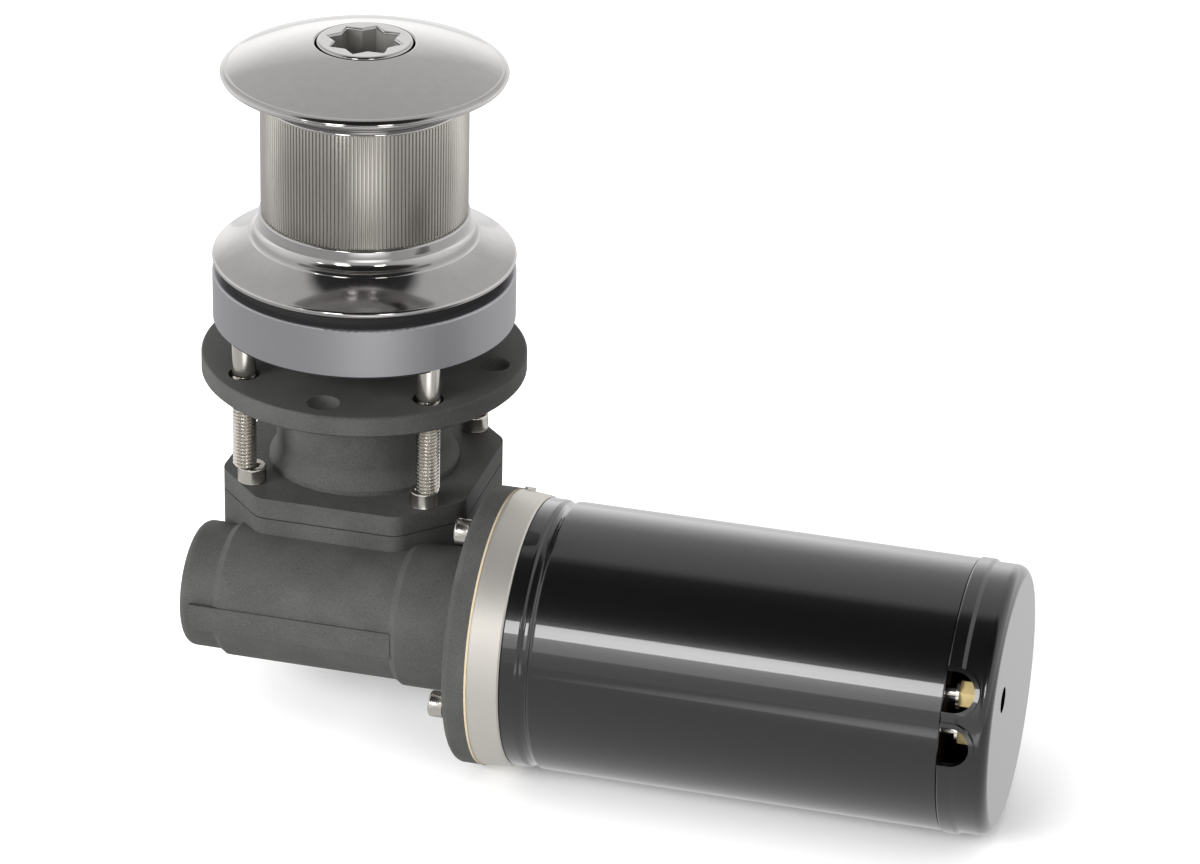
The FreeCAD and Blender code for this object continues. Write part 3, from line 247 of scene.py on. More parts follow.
def arc(start, middle, end, steps=10):
    """Points on the circle through three points of a profile, from the start to the end.

    The centre solves |p - c| equal for the three, and the angle runs evenly past the middle point.
    """
    a, b, c = (np.asarray(p, float) for p in (start, middle, end))
    centre = np.linalg.solve(2 * np.array([b - a, c - a]), [b @ b - a @ a, c @ c - a @ a])
    angles = [np.arctan2(p[1] - centre[1], p[0] - centre[0]) for p in (a, b, c)]
    first, mid, last = np.unwrap(angles)
    t = np.linspace(first, last, steps + 1)[1:]
    radius = np.hypot(*(a - centre))
    return np.stack([centre[0] + radius * np.cos(t), centre[1] + radius * np.sin(t)], -1)


def profile_through(start, *steps, detail=10):
    """Polyline through points and arcs. A step is a point, or a pair of points for an arc past the first."""
    points = [np.array([start], float)]
    for step in steps:
        if np.ndim(step) == 2:
            points.append(arc(points[-1][-1], step[0], step[1], detail))
        else:
            points.append(np.array([step], float))
    return np.vstack(points)


def softened(profile, radius, sharpest=12.0, steps=4):
    """Closed profile with its sharp corners rounded.

    A corner p becomes the curve (1-s)^2 a + 2 s (1-s) p + s^2 b between points a and b on its two sides, and
    a further point stays a little way out on each side so that flat walls keep flat shading.
    """
    largest_share, guard = 0.3, 1.5
    profile = np.asarray(profile, float)
    before = np.roll(profile, 1, 0) - profile
    after = np.roll(profile, -1, 0) - profile
    gap_before, gap_after = np.hypot(*before.T), np.hypot(*after.T)
    turn = np.degrees(np.arccos(np.clip(-(before * after).sum(1) / (gap_before * gap_after), -1, 1)))
    s = np.linspace(0, 1, steps + 1)[:, None]
    out = []
    for p, u, v, lu, lv, bend in zip(profile, before, after, gap_before, gap_after, turn):
        if bend < sharpest:
            out.append(p[None])
            continue
        to_a = u / lu * min(radius, largest_share * lu)
        to_b = v / lv * min(radius, largest_share * lv)
        out += [(p + to_a * guard)[None],
                (1 - s) ** 2 * (p + to_a) + 2 * s * (1 - s) * p + s ** 2 * (p + to_b),
                (p + to_b * guard)[None]]
    return np.vstack(out)


def hex_radius(t, flats):
    """Distance from the centre to a hexagon's side: half the flats over the cosine of the angle to a flat."""
    return flats / 2 / np.cos((t + np.pi / 6) % (np.pi / 3) - np.pi / 6)


# Shader graphs written as Python expressions

class Wire:
    """One value on its way through a shader. Operators add Math nodes."""

    def __init__(self, graph, socket):
        self.graph, self.socket = graph, socket

    def _math(self, operation, *values):
        return self.graph.node("ShaderNodeMath", {"operation": operation}, dict(enumerate(values)))

    def __add__(self, other):
        return self._math("ADD", self, other)

    def __radd__(self, other):
        return self._math("ADD", other, self)

    def __sub__(self, other):
        return self._math("SUBTRACT", self, other)

    def __rsub__(self, other):
        return self._math("SUBTRACT", other, self)

    def __mul__(self, other):
        return self._math("MULTIPLY", self, other)

    def __rmul__(self, other):
        return self._math("MULTIPLY", other, self)

    def __pow__(self, other):
        return self._math("POWER", self, other)

    def turned(self, other):
        """The angle whose tangent is this value over the other."""
        return self._math("ARCTAN2", self, other)

    def clamped(self):
        """The value held between nothing and one."""
        wire = self._math("ADD", self, 0.0)
        wire.socket.node.use_clamp = True
        return wire


class Graph:
    """A node tree that is put together by one method, for materials and for the sky."""

    def __init__(self, tree):
        self.tree = tree

    def feed(self, socket, value):
        """Links a wire to a socket, or sets the socket to a number or a colour."""
        if isinstance(value, Wire):
            self.tree.links.new(value.socket, socket)
        elif socket.type == "RGBA" and len(value) == 3:
            socket.default_value = (*value, 1.0)
        else:
            socket.default_value = value

    def node(self, kind, settings=None, inputs=None, output=0):
        """Adds one node: its settings first, then the values or links of its sockets."""
        node = self.tree.nodes.new(kind)
        for key, value in (settings or {}).items():
            if key == "stops":
                ramp = node.color_ramp
                while len(ramp.elements) < len(value):
                    ramp.elements.new(0.5)
                for element, (place, tone) in zip(ramp.elements, value):
                    element.position, element.color = place, (*tone, 1.0)
            else:
                setattr(node, key, value)
        for key, value in (inputs or {}).items():
            self.feed(node.inputs[key], value)
        return Wire(self, node.outputs[output])


class Finish(Graph):
    """A material for one slot of the record."""

    def __init__(self, name, slot, **sockets):
        self.material = bpy.data.materials.new(name)
        self.material.use_nodes = True
        self.material["slot"] = slot
        super().__init__(self.material.node_tree)
        self.shader = self.tree.nodes["Principled BSDF"]
        self.set(**sockets)

    def set(self, **sockets):
        """Sets or links sockets of the shader, named with underscores for spaces."""
        for name, value in sockets.items():
            self.feed(self.shader.inputs[name.replace("_", " ")], value)
        return self

    def finish(self, surface):
        """Makes another shader than the first the material's surface."""
        self.feed(self.tree.nodes["Material Output"].inputs["Surface"], surface)

    def place(self, scale=(1.0, 1.0, 1.0)):
        """The object's own coordinates, stretched along the axes."""
        here = self.node("ShaderNodeTexCoord", output="Object")
        return self.node("ShaderNodeVectorMath", {"operation": "MULTIPLY"}, {0: here, 1: scale})

    def towards(self, place, direction):
        """How far a place lies along a direction."""
        return self.node("ShaderNodeVectorMath", {"operation": "DOT_PRODUCT"}, {0: place, 1: direction},
                         output="Value")

    def length(self, place):
        """How far a place lies from nothing."""
        return self.node("ShaderNodeVectorMath", {"operation": "LENGTH"}, {0: place}, output="Value")

    def noise(self, scale, detail=3.0, stretch=(1.0, 1.0, 1.0), roughness=0.5):
        """Cloudy values about one half. The scale counts clouds in a metre."""
        return self.node("ShaderNodeTexNoise", None, {"Vector": self.place(stretch), "Scale": scale,
                                                      "Detail": detail, "Roughness": roughness})

    def scaled(self, tone, factor):
        """A colour made stronger or weaker, also past white."""
        return self.node("ShaderNodeVectorMath", {"operation": "SCALE"}, {0: tone, "Scale": factor})

    def mixed(self, factor, first, second):
        """A colour between two colours. The colour sockets of the node are its sixth and seventh."""
        return self.node("ShaderNodeMix", {"data_type": "RGBA"}, {0: factor, 6: first, 7: second}, output=2)

    def bump(self, height, distance, strength=1.0):
        """Feeds a height to the shader's normal."""
        self.set(Normal=self.node("ShaderNodeBump", None,
                                  {"Strength": strength, "Distance": distance, "Height": height}))
        return self


def shade(tone, factor):
    """A colour made lighter or darker."""
    return tuple(min(1.0, part * factor) for part in tone)


FINISHES = {}


def metal(slot, tone, roughness, wear=0.06, grain=900.0, stretch=(1.0, 1.0, 1.0), name=None):
    """Bare metal whose gloss and tone wander a little over the surface."""
    darker, lighter = 0.94, 1.06
    name = name or slot
    finish = Finish(name, slot, Metallic=1.0)
    cloud = finish.noise(grain, 3.0, stretch)
    finish.set(Base_Color=finish.mixed(cloud, shade(tone, darker), shade(tone, lighter)),
               Roughness=roughness + (cloud - 0.5) * wear)
    FINISHES[name] = finish.material
    return finish


def dull(slot, tone, roughness, grain=600.0, depth=0.0):
    """Paint, rubber, fibre or plastic with a slight cloud in its tone and an optional fine grain."""
    darker, lighter = 0.82, 1.18
    finish = Finish(slot, slot, Metallic=0.0)
    cloud = finish.noise(grain, 4.0)
    finish.set(Base_Color=finish.mixed(cloud, shade(tone, darker), shade(tone, lighter)), Roughness=roughness)
    if depth:
        finish.bump(finish.noise(grain * 4, 2.0), depth, 0.5)
    FINISHES[slot] = finish.material
    return finish


def cast_finish(settings):
    """Fine sand-cast surface under a thin dark coating: tone cloud, fine speckle and grain."""
    darker, lighter, grain_height = 0.6, 2.1, 0.12 * MM
    tone = tuple(settings.casting)
    finish = Finish("dark_casting", "dark_casting", Metallic=0.0)
    speckle = finish.noise(2600.0, 3.0, roughness=0.65)
    cloud = finish.noise(60.0, 3.0)
    worn = (speckle * 1.6 + cloud * 0.6 - 0.72).clamped()
    finish.set(Base_Color=finish.mixed(worn, shade(tone, darker), shade(tone, lighter)),
               Roughness=0.52 + speckle * 0.22)
    finish.bump(speckle, grain_height, settings.grain)
    FINISHES["dark_casting"] = finish.material


def socket_finish(settings):
    """Polished like the head on top, and rougher on the walls of the handle socket, where the darker tone is
    painted shade.

    The socket is where the distance from the axis is under its reach and the height is under the rounded rim.
    """
    reach, rim = 12.6 * MM, 0.7 * MM
    shaded_wall_tone = (0.36, 0.35, 0.33)
    finish = metal("polished_steel", settings.polished, 0.10, 0.03, 300.0, name="nut_steel")
    radius = finish.length(finish.place((1.0, 1.0, 0.0)))
    height = finish.towards(finish.place(), (0.0, 0.0, 1.0))
    inside = ((reach - radius) * 4000.0).clamped() * ((NUT_HIGH.z - rim - height) * 2000.0).clamped()
    cloud = finish.noise(700.0)
    # The darker wall tone inside the socket is painted shade of the deep recess; the roughness and metallic
    # changes are the walls' finish.
    finish.set(Base_Color=finish.mixed(inside, settings.polished, shaded_wall_tone),
               Roughness=0.10 + inside * 0.34 + cloud * 0.05, Metallic=1.0 - inside * 0.4)


def make_finishes(settings):
    """All the finishes, one for each material slot of the record."""
    metal("polished_steel", settings.polished, 0.10, 0.03, 300.0)
    barrel = metal("polished_steel", settings.barrel, 0.32, 0.06, 500.0, (1.0, 1.0, 0.2), name="barrel_steel")
    barrel.set(Anisotropic=0.6, Anisotropic_Rotation=0.25)
    metal("satin_steel", settings.satin, 0.48, 0.08, 1500.0, (1.0, 1.0, 8.0))
    socket_finish(settings)
    metal("stainless", (0.66, 0.63, 0.58), 0.24, 0.10, 1200.0)
    cast_finish(settings)
    dull("black_gloss", settings.gloss_black, 0.24).set(Coat_Weight=1.0, Coat_Roughness=0.03)
    metal("satin_aluminium", settings.aluminium, 0.50, 0.08, 1800.0).set(Metallic=0.85)
    dull("black_rubber", (0.012, 0.012, 0.012), 0.75, 700.0, 0.03 * MM)
    dull("tan_gasket", (0.50, 0.42, 0.29), 0.85, 1500.0, 0.05 * MM)
    metal("bearing_steel", (0.60, 0.60, 0.60), 0.22)
    metal("shaft_steel", (0.52, 0.52, 0.53), 0.26)
    metal("bronze", (0.55, 0.36, 0.16), 0.34)
    metal("brass", (0.86, 0.68, 0.33), 0.34).set(Metallic=0.4)
    metal("copper", (0.62, 0.28, 0.14), 0.36)
    metal("core_steel", (0.26, 0.26, 0.27), 0.46, 0.1, 900.0, (12.0, 1.0, 1.0))
    dull("ferrite", (0.035, 0.035, 0.037), 0.66, 900.0, 0.03 * MM)
    dull("carbon", (0.016, 0.016, 0.017), 0.58, 900.0, 0.02 * MM)
    dull("insulation", (0.09, 0.055, 0.03), 0.6, 500.0)


# Operators, one for each piece or group of like pieces, each after the surfaces that it uses

class CAPSTAN_OT_finishes(Operator):
    """Make the finishes and put them on the CAD nodes that stay in sight"""
    bl_idname = "capstan.finishes"
    bl_label = "Finishes"

    def execute(self, context):
        make_finishes(context.scene.capstan.finishes)
        for name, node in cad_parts.items():
            slot = node.data.materials[0].name.split(".")[0] if node.data.materials else None
            if slot not in FINISHES:
                raise RuntimeError(f"node {name} has the unknown slot {slot}")
            node.data.materials.clear()
            node.data.materials.append(FINISHES[slot])
        return {"FINISHED"}


def drum_profile(barrel):
    """Closed outline of the drum as (radius, height), in millimetres.

    It runs from the seat of the lower cone up the bore, over the dome and the rim down to the waist, past the
    ribbed band and the stepped foot, down the flare to the skirt's edge, and back through the hollow.
    """
    low, high = DRUM_LOW.z / MM, DRUM_HIGH.z / MM
    rib_low = low + RIBS_START / MM
    rib_high = rib_low + RIBS_LENGTH / MM
    cover_of_ribs = 0.55
    under_ribs = barrel - cover_of_ribs
    bore = ((10.55, low + 13.5), (10.55, low + 29.3), (13.7, low + 29.3), (16.0, low + 39.3),
            (16.1, low + 39.4), (16.1, high - 0.5), (16.6, high))
    dome = ((31.1, high - 3.3), (44.6, high - 8.5))
    rim = (((46.3, high - 9.2), (46.8, high - 10.0)), (46.2, high - 10.3),
           ((46.4, high - 10.7), (46.1, high - 11.2)), ((45.6, high - 11.5), (45.0, high - 11.6)),
           (43.1, high - 11.6))
    waist = (((34.8, rib_high + 5.6), (31.8, rib_high + 3.2)),
             ((32.1, rib_high + 1.8), (32.9, rib_high + 1.0)), ((33.8, rib_high + 0.7), (34.2, rib_high)))
    band = ((under_ribs, rib_high), (under_ribs, rib_low))
    foot = ((34.0, rib_low), ((34.5, rib_low - 0.25), (34.7, rib_low - 0.8)), (34.7, rib_low - 2.8),
            ((35.1, rib_low - 4.9), (36.2, rib_low - 6.3)), (37.0, rib_low - 6.7),
            ((37.6, rib_low - 7.1), (38.2, rib_low - 7.9)))
    skirt = (((44.6, low + 4.65), (49.2, low + 2.3)), ((50.0, low + 1.15), (49.2, low)), (47.6, low))
    hollow = ((47.6, low + 1.4), (30.8, low + 6.4), (30.8, rib_high - 3.2), (20.5, rib_high - 3.2),
              (20.5, low + 16.9), (25.5, low + 10.1), (25.5, low + 1.6), (22.1, low + 1.6),
              (19.3, low + 13.5))
    return profile_through(*bore, dome, *rim, *waist, *band, *foot, *skirt, *hollow, detail=14)


def rib_rings(settings):
    """Rings of the ribbed sleeve: flat ribs with narrow grooves between, faded in and out at the two ends.

    radius = valley + depth clip(1.5 + 2 cos(n t), 0, 1)
    """
    columns_a_rib, edge, wall = 12, 0.25 * MM, 0.4 * MM
    low = DRUM_LOW.z + RIBS_START
    high = low + RIBS_LENGTH
    t = turns(settings.rib_count * columns_a_rib)
    wave = np.clip(1.5 + 2.0 * np.cos(settings.rib_count * t), 0, 1)
    valley = settings.barrel_radius - settings.rib_depth
    heights = np.array([low, low + edge, low + 2 * edge, (low + high) / 2,
                        high - 2 * edge, high - edge, high])
    fade = np.array([0.0, 0.7, 1.0, 1.0, 1.0, 0.7, 0.0])
    outer = valley + settings.rib_depth * fade[:, None] * wave
    inner = np.full((2, len(t)), valley - wall)
    return wavy(np.vstack([outer, inner]), np.concatenate([heights, [high, low]]))


def wavy(radii, heights):
    """Rings whose radius changes round the axis: radii shaped (rows, columns), one height for each row."""
    columns = radii.shape[1]
    t = turns(columns)
    return np.stack([radii * np.cos(t), radii * np.sin(t), np.repeat(heights[:, None], columns, 1)], -1)


class CAPSTAN_OT_drum(Operator):
    """Turn the drum and press the upright ribs round its barrel"""
    bl_idname = "capstan.drum"
    bl_label = "Drum"

    def execute(self, context):
        settings = context.scene.capstan.drum
        barrel = settings.barrel_radius / MM
        profile = softened(drum_profile(barrel) * MM, settings.soft_edge)
        make_piece("drum_shell", [shell(revolved(profile, 256), closed=True)], FINISHES["polished_steel"],
                   "drum", "drum")
        make_piece("drum_ribs", [shell(rib_rings(settings), closed=True)], FINISHES["barrel_steel"], "drum")
        return {"FINISHED"}


def star_radius(t, point, notch, count):
    """Distance to the side of a star, which runs straight from a point to a notch, by the law of sines."""
    half = np.pi / count
    u = np.abs((t + half) % (2 * half) - half)
    return point * notch * np.sin(half) / (point * np.sin(u) + notch * np.sin(half - u))


class CAPSTAN_OT_star_nut(Operator):
    """Cut the eight-point handle socket into the nut in the middle of the head"""
    bl_idname = "capstan.star_nut"
    bl_label = "Star nut"

    def execute(self, context):
        settings = context.scene.capstan.drum
        top, low = NUT_HIGH.z / MM, NUT_LOW.z / MM
        outer, bore = NUT_HIGH.x / MM, NUT_BORE / MM
        points, columns_a_point = 8, 24
        t = turns(points * columns_a_point)
        # Two crossed squares: a notch lies at half the flats over cos(pi / 8), a tip 1.307 times as far out
        notch = settings.socket_flats / MM / 2 / np.cos(np.pi / points)
        star = star_radius(t, notch * 1.307, notch, points)
        floor = top - settings.socket_depth / MM
        one = np.ones_like(t)
        ledge = top - NUT_TOP_HEIGHT / MM
        rows = [(bore * one, low), ((outer - 1.0) * one, low), ((outer - 1.0) * one, ledge),
                (outer * one, ledge), (outer * one, top - 1.0), (outer * one, top - 0.75),
                ((outer - 0.08) * one, top - 0.5), ((outer - 0.32) * one, top - 0.2),
                ((outer - 0.7) * one, top), ((outer - 1.0) * one, top),
                (star + 0.95, top), (star + 0.75, top), (star + 0.35, top - 0.18),
                (star + 0.08, top - 0.55), (star, top - 0.9), (star, top - 1.2), (star, floor),
                (bore * one, floor)]
        radii = np.array([row[0] for row in rows]) * MM
        heights = np.array([row[1] for row in rows]) * MM
        make_piece("star_nut_shell", [shell(wavy(radii, heights), closed=True)], FINISHES["nut_steel"],
                   "nut", "star_nut", crease=28.0)
        return {"FINISHED"}


def thread_rings(radius, pitch, low, high, shank, top, columns=40):
    """Rings of a stud. Its thread is a ridge that climbs one pitch a turn.

    radius = outer - depth (1 - |2 frac(z / pitch - t / 2 pi) - 1|), with the crest and the root cut flat, and
    cut by a cone at the lower end. Above the thread comes the plain shank.
    """
    rows_a_turn, depth = 10, 0.61 * pitch
    t = turns(columns)
    heights = np.linspace(low, high, int((high - low) / pitch * rows_a_turn) + 1)
    phase = (heights[:, None] / pitch - t / (2 * np.pi)) % 1.0
    ridge = np.clip(1.35 * np.abs(2 * phase - 1) - 0.15, 0, 1)
    cone = radius - 0.62 * pitch + (heights - low)[:, None]
    thread = np.minimum(radius - depth * (1 - ridge), cone)
    edge = 0.4 * MM
    plain = np.array([shank - 0.5 * MM, shank, shank, shank, shank - 0.3 * MM])
    levels = np.array([high + 0.05 * MM, high + edge, high + 1.5 * edge, top - edge, top])
    return wavy(np.vstack([thread, np.repeat(plain[:, None], columns, 1)]), np.concatenate([heights, levels]))


class CAPSTAN_OT_studs(Operator):
    """Roll the four threaded mounting studs"""
    bl_idname = "capstan.studs"
    bl_label = "Mounting studs"

    def execute(self, context):
        settings = context.scene.capstan.screws
        low, top = STUD_LOW.z, STUD_HIGH.z
        rings = thread_rings(settings.stud_radius, settings.stud_pitch, low, FLANGE_TOP - 0.2 * MM,
                             STUD_SHANK, top)
        shells = []
        for turn in np.radians(STUD_TURNS):
            place = np.array([STUD_CIRCLE * np.cos(turn), STUD_CIRCLE * np.sin(turn), 0.0])
            shells.append(shell(rings + place, start_pole=place + (0, 0, low), end_pole=place + (0, 0, top)))
        make_piece("mounting_stud_threads", shells, FINISHES["stainless"], "root", "mounting_studs",
                   crease=50.0)
        return {"FINISHED"}


def screw_shell(radius, length_, head, height, flats, columns=72):
    """Socket screw with its head's underside at nothing and its shank below.

    The head's side carries fine upright ridges, and its top a six-sided socket with a conical floor.
    """
    ridges, ridge_depth = 36, 0.12 * MM
    t = turns(columns)
    one = np.ones_like(t)
    hexagon = hex_radius(t, flats)
    ridged = head - ridge_depth * (0.5 - 0.5 * np.cos(ridges * t))
    rows = [((radius - 0.5 * MM) * one, -length_), (radius * one, -length_ + 0.5 * MM),
            (radius * one, -0.05 * MM), (radius * one, 0.0), ((head - 0.3 * MM) * one, 0.0),
            (head * one, 0.3 * MM),
            (ridged, 0.5 * MM), (ridged, height - 0.9 * MM), (head * one, height - 0.7 * MM),
            (head * one, height - 0.5 * MM), ((head - 0.12 * MM) * one, height - 0.2 * MM),
            ((head - 0.4 * MM) * one, height), ((head - 0.6 * MM) * one, height),
            (hexagon + 0.35 * MM, height), (hexagon + 0.25 * MM, height), (hexagon, height - 0.3 * MM),
            (hexagon, height * 0.45)]
    rings = wavy(np.array([row[0] for row in rows]), np.array([row[1] for row in rows]))
    return rings, (0.0, 0.0, -length_), (0.0, 0.0, height * 0.38)


class CAPSTAN_OT_screws(Operator):
    """Set the socket screws of the gearbox cover and of the motor flange"""
    bl_idname = "capstan.screws"
    bl_label = "Socket screws"

    def execute(self, context):
        settings = context.scene.capstan.screws
        low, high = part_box("cover_screws")
        seat = low.z + COVER_SCREW_LENGTH
        rings, tip, floor = screw_shell(COVER_SCREW_RADIUS, COVER_SCREW_LENGTH, settings.cover_head,
                                        high.z - seat, COVER_SCREW_KEY)
        shells = []
        for x in (-COVER_SCREW_PLACE, COVER_SCREW_PLACE):
            for y in (-COVER_SCREW_PLACE, COVER_SCREW_PLACE):
                place = np.array([x, y, seat])
                shells.append(shell(rings + place, start_pole=place + tip, end_pole=place + floor))
        make_piece("cover_screw_heads", shells, FINISHES["stainless"], "root", "cover_screws", crease=30.0)
        low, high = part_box("motor_screws")
        seat = low.x + MOTOR_SCREW_HEAD
        rings, tip, floor = screw_shell(MOTOR_SCREW_RADIUS, high.x - seat, settings.motor_head,
                                        MOTOR_SCREW_HEAD, MOTOR_SCREW_KEY)
        shells = []
        for turn in np.radians(MOTOR_SCREW_TURNS):
            middle = np.array([seat, MOTOR_Y - MOTOR_SCREW_CIRCLE * np.cos(turn),
                               MOTOR_Z + MOTOR_SCREW_CIRCLE * np.sin(turn)])
            laid = [np.stack([-p[..., 2], p[..., 1], p[..., 0]], -1) + middle
                    for p in (rings, np.array(tip), np.array(floor))]
            shells.append(shell(laid[0], start_pole=laid[1], end_pole=laid[2]))
        make_piece("motor_screw_heads", shells, FINISHES["stainless"], "root", "motor_screws", crease=30.0)
        return {"FINISHED"}


class CAPSTAN_OT_motor_case(Operator):
    """Draw the motor's black case with the rolled groove near its front"""
    bl_idname = "capstan.motor_case"
    bl_label = "Motor case"

    def execute(self, context):
        start, end = CASE_LOW.x / MM, CASE_HIGH.x / MM
        radius = (CASE_HIGH.z - MOTOR_Z) / MM
        groove_at, groove_run, groove_depth, groove_width, wall = 7.6, 3.6, 0.9, 1.75, 2.6
        # The groove's depth falls off as exp(-u^4), with u the distance from its middle over its width
        x = start + groove_at + np.linspace(-groove_run, groove_run, 41)
        groove = radius - groove_depth * np.exp(-((x - start - groove_at) / groove_width) ** 4)
        outer = np.stack([np.concatenate([[radius - 0.4, radius, radius, radius], groove,
                                          [radius, radius, radius, radius - 0.4]]),
                          np.concatenate([[start, start + 0.4, start + 0.7, start + 3.0], x,
                                          [start + 12.5, end - 0.7, end - 0.4, end]])], -1)
        inner = np.array([[radius - wall, end], [radius - wall, end - 0.3], [radius - wall, start + 0.3],
                          [radius - wall, start]])
        rings = along_motor(revolved(np.vstack([outer, inner]) * MM, 256))
        make_piece("motor_case_shell", [shell(rings, closed=True)], FINISHES["black_gloss"], "root",
                   "motor_case")
        return {"FINISHED"}


class CAPSTAN_OT_stage(Operator):
    """Make the floor, the lamps, the sky and the camera"""
    bl_idname = "capstan.stage"
    bl_label = "Stage"

    def execute(self, context):
        settings = context.scene.capstan.studio
        make_floor()
        make_sky(settings.ambient)
        make_lamps(settings)
        make_tent()
        make_camera(settings.lens)
        context.scene.view_settings.view_transform = "Standard"
        return {"FINISHED"}


def make_floor():
    """A wide pale floor. The camera sees it glowing white, and the glow is dimmed close to the part, where
    less of it lies open: a painted contact shadow.

    Mirrors see it grey in front and white behind, with a bright stripe out in front that gives the barrel its
    upright band. The stripe falls off with the square of the bearing from its middle, and starts at some
    distance from the drum.
    """
    half, shadow_reach, shadow_power, own_glow = 4.0, 0.045, 1.4, 0.85
    stripe_bearing, stripe_fall, stripe_start, stripe_edge, stripe_gain = 0.38, 6.0, 0.385, 25.0, 3.2
    tones = ((0.46, (0.55, 0.55, 0.55)), (0.60, (1.0, 1.0, 1.0)))
    mesh = bpy.data.meshes.new("floor")
    mesh.from_pydata([(-half, -half, FLOOR_Z), (half, -half, FLOOR_Z), (half, half, FLOOR_Z),
                      (-half, half, FLOOR_Z)], [], [(0, 1, 2, 3)])
    floor = bpy.data.objects.new("floor", mesh)
    bpy.context.scene.collection.objects.link(floor)
    paint = Finish("floor", "floor", Roughness=0.9, Base_Color=(0.92, 0.92, 0.92))
    here = paint.place((1.0, 1.0, 0.0))
    across, depth = paint.towards(here, (1.0, 0.0, 0.0)), paint.towards(here, (0.0, 1.0, 0.0))
    bearing = across.turned(0.0 - depth) - stripe_bearing
    stripe = ((1.0 - bearing * bearing * stripe_fall).clamped()
              * ((paint.length(here) - stripe_start) * stripe_edge).clamped())
    tone = paint.node("ShaderNodeValToRGB", {"stops": tones}, {0: depth * (1 / (2 * half)) + 0.5})
    seen = paint.node("ShaderNodeLightPath", output="Is Camera Ray")
    mirrored = paint.node("ShaderNodeLightPath", output="Is Glossy Ray")
    openness = paint.node("ShaderNodeAmbientOcclusion", {"samples": 8}, {"Distance": shadow_reach},
                          output="AO")
    # The camera-seen glow is dimmed by ambient occlusion near the part, a painted contact shadow on the
    # floor.
    paint.set(Specular_IOR_Level=0.0, Emission_Strength=1.0,
              Emission_Color=paint.scaled((1.0, 1.0, 1.0), seen * openness ** shadow_power * own_glow))
    glow = paint.node("ShaderNodeEmission", None,
                      {"Color": paint.scaled(tone, 1.0 + stripe * stripe_gain), "Strength": 1.0})
    paint.finish(paint.node("ShaderNodeMixShader", None,
                            {0: mirrored, 1: Wire(paint, paint.shader.outputs[0]), 2: glow}))
    mesh.materials.append(paint.material)


def make_sky(ambient):
    """White for the camera, mirrors and glass, and softer for the light that it casts."""
    world = bpy.data.worlds.new("studio")
    bpy.context.scene.world = world
    world.use_nodes = True
    sky = Graph(world.node_tree)
    seen = sky.node("ShaderNodeLightPath", output="Is Camera Ray")
    mirrored = sky.node("ShaderNodeLightPath", output="Is Glossy Ray")
    through = sky.node("ShaderNodeLightPath", output="Is Transmission Ray")
    white = (seen + mirrored + through).clamped()
    background = world.node_tree.nodes["Background"]
    sky.feed(background.inputs["Color"], (1.0, 1.0, 1.0))
    sky.feed(background.inputs["Strength"], ambient + white * (1.0 - ambient))


def lamp(name, place, aim, size, power, mirrored=True):
    """A soft rectangular lamp at one place, turned towards another. Only some lamps show in mirrors."""
    data = bpy.data.lights.new(name, "AREA")
    data.shape = "RECTANGLE"
    data.size, data.size_y = size
    data.energy = power
    body = bpy.data.objects.new(name, data)
    bpy.context.scene.collection.objects.link(body)
    back = np.asarray(place, float) - np.asarray(aim, float)
    back /= np.linalg.norm(back)
    side = np.cross((0.0, 0.001, 1.0), back)
    side /= np.linalg.norm(side)
    up = np.cross(back, side)
    rows = [(*row, spot) for row, spot in zip(np.stack([side, up, back], 1).tolist(), place)]
    body.matrix_world = Matrix(rows + [(0.0, 0.0, 0.0, 1.0)])
    body.visible_camera = False
    body.visible_glossy = mirrored


def make_lamps(settings):
    """A large key lamp low in front and a fill from the right, which mirrors don't show.

    A soft box left of the camera gives the motor its white band, and a weaker one under it softens the band's
    lower edge. With a box on the right and a small lamp on the left, it puts the glints on rims and rolls.
    """
    lamp("key", (-0.95, -1.25, 0.50), (0.05, 0.0, -0.03), (0.8, 0.8), settings.key, False)
    lamp("fill", (1.2, -0.6, 0.7), (0.05, 0.0, 0.0), (0.7, 0.7), settings.fill, False)
    lamp("left_box", (-0.17, -1.5, 0.745), (-0.17, 0.0, -0.087), (0.36, 0.31), settings.box)
    lamp("low_box", (-0.17, -1.5, 0.41), (-0.17, 0.0, -0.087), (0.36, 0.36), settings.box * 0.16)
    lamp("right_box", (0.93, -1.4, 0.85), (0.0, 0.0, 0.0), (0.30, 0.30), settings.box * 0.7)
    lamp("left_dot", (-0.85, -1.35, 0.95), (0.0, 0.0, 0.05), (0.10, 0.10), settings.box * 0.1)


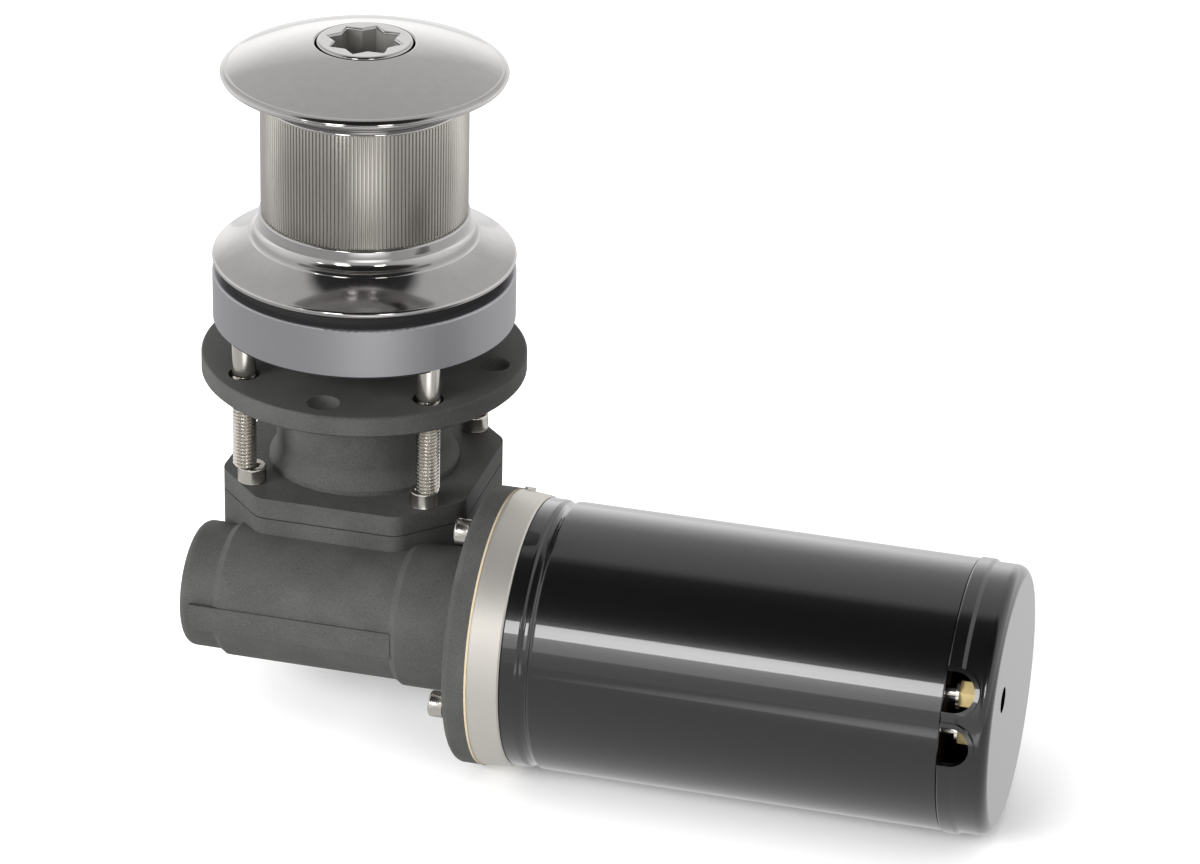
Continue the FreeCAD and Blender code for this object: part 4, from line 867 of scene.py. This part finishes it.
def make_tent():
    """A wide half sphere over the set, as a tent in a studio gives gloss and chrome their soft contrast.

    x = r cos e sin a, y = -r cos e cos a, z = r sin e, for bearings a and rises e. Only mirrors see it. It is
    dark round one direction high in front, pale elsewhere, lighter to both sides of the camera's view, and
    brightest low down behind, with one brighter patch there.
    """
    radius, columns = 3.6, 96
    dark_middle, patch_middle, camera_right = (0.13, -0.47, 0.87), (-0.33, 0.90, 0.27), (0.966, 0.257, 0.0)
    patch_gain, low_gain = 0.6, 0.45
    tones = ((0, (0.90, 0.90, 0.90)), (0.45, (0.82, 0.82, 0.82)), (0.70, (0.76, 0.76, 0.76)),
             (0.87, (0.70, 0.70, 0.70)), (0.912, (0.05, 0.05, 0.05)), (1, (0.025, 0.025, 0.025)))
    rise = np.radians(np.linspace(0.0, 86.0, 24))[:, None]
    around = turns(columns)
    rings = radius * np.stack([np.cos(rise) * np.sin(around), -np.cos(rise) * np.cos(around),
                               np.repeat(np.sin(rise), columns, 1)], -1) + (0.0, 0.0, FLOOR_Z)
    points, quads, triangles = shell(rings, end_pole=(0.0, 0.0, FLOOR_Z + radius))
    mesh = bpy.data.meshes.new("tent")
    mesh.from_pydata(points.tolist(), [], quads.tolist() + triangles.tolist())
    tent = bpy.data.objects.new("tent", mesh)
    bpy.context.scene.collection.objects.link(tent)
    paint = Finish("tent", "tent", Base_Color=(0.0, 0.0, 0.0), Roughness=1.0)
    paint.set(Specular_IOR_Level=0.0)
    here = paint.node("ShaderNodeVectorMath", {"operation": "NORMALIZE"}, {0: paint.place()})
    front = paint.towards(here, dark_middle)
    side = paint.towards(here, camera_right)
    behind = paint.towards(here, patch_middle)
    height = paint.towards(here, (0.0, 0.0, 1.0))
    tone = paint.node("ShaderNodeValToRGB", {"stops": tones}, {0: front * 0.5 + 0.5})
    patch = ((behind - 0.92) * 14.0).clamped()
    low_behind = ((0.42 - height) * 3.5).clamped() * ((0.1 - front) * 5.0).clamped()
    sides = ((side * side - 0.3) * 0.9).clamped()
    strength = 1.0 + patch * patch_gain + low_behind * low_gain + sides
    paint.set(Emission_Strength=1.0, Emission_Color=paint.scaled(tone, strength))
    mesh.materials.append(paint.material)
    tent.visible_camera = tent.visible_diffuse = tent.visible_shadow = tent.visible_transmission = False


def make_camera(lens):
    """The photograph's viewpoint, fitted to measured points of the object."""
    right = (0.966266, 0.256568, 0.022405)
    up = (-0.133254, 0.423609, 0.895990)
    back = (0.220392, -0.868751, 0.443508)
    place = (0.432986, -1.386558, 0.676426)
    data = bpy.data.cameras.new("camera")
    data.sensor_width = 36.0
    data.lens = lens
    data.clip_start, data.clip_end = 0.05, 50.0
    camera = bpy.data.objects.new("camera", data)
    bpy.context.scene.collection.objects.link(camera)
    rows = [(right[k], up[k], back[k], place[k]) for k in range(3)]
    camera.matrix_world = Matrix(rows + [(0.0, 0.0, 0.0, 1.0)])
    bpy.context.scene.camera = camera


class CAPSTAN_PT_panel(Panel):
    """Sizes, finishes and buttons of the capstan"""
    bl_idname = "CAPSTAN_PT_panel"
    bl_label = "Deck capstan"
    bl_space_type = "VIEW_3D"
    bl_region_type = "UI"
    bl_category = "Capstan"

    def draw(self, context):
        settings = context.scene.capstan
        for group in (settings.drum, settings.screws, settings.finishes, settings.studio):
            box = self.layout.box()
            for key in group.bl_rna.properties.keys():
                if key not in ("rna_type", "name"):
                    box.prop(group, key)
        for operator in STEPS:
            self.layout.operator(operator.bl_idname)


STEPS = (CAPSTAN_OT_finishes, CAPSTAN_OT_drum, CAPSTAN_OT_star_nut, CAPSTAN_OT_studs, CAPSTAN_OT_screws,
         CAPSTAN_OT_motor_case, CAPSTAN_OT_stage)
CLASSES = (CapstanDrumSettings, CapstanScrewSettings, CapstanFinishSettings, CapstanStudioSettings,
           CapstanSettings, *STEPS, CAPSTAN_PT_panel)


def register():
    """Makes the settings, the operators and the panel known to Blender."""
    for item in CLASSES:
        bpy.utils.register_class(item)
    bpy.types.Scene.capstan = PointerProperty(type=CapstanSettings)


def unregister():
    """Takes them away again."""
    del bpy.types.Scene.capstan
    for item in reversed(CLASSES):
        bpy.utils.unregister_class(item)


def plain(box):
    """A box as lists of numbers."""
    return [[float(part) for part in corner] for corner in box]


def main():
    """Registers the add-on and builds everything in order."""
    register()
    for operator in STEPS:
        category, name = operator.bl_idname.split(".")
        getattr(getattr(bpy.ops, category), name)()


if __name__ == "__main__":
    main()
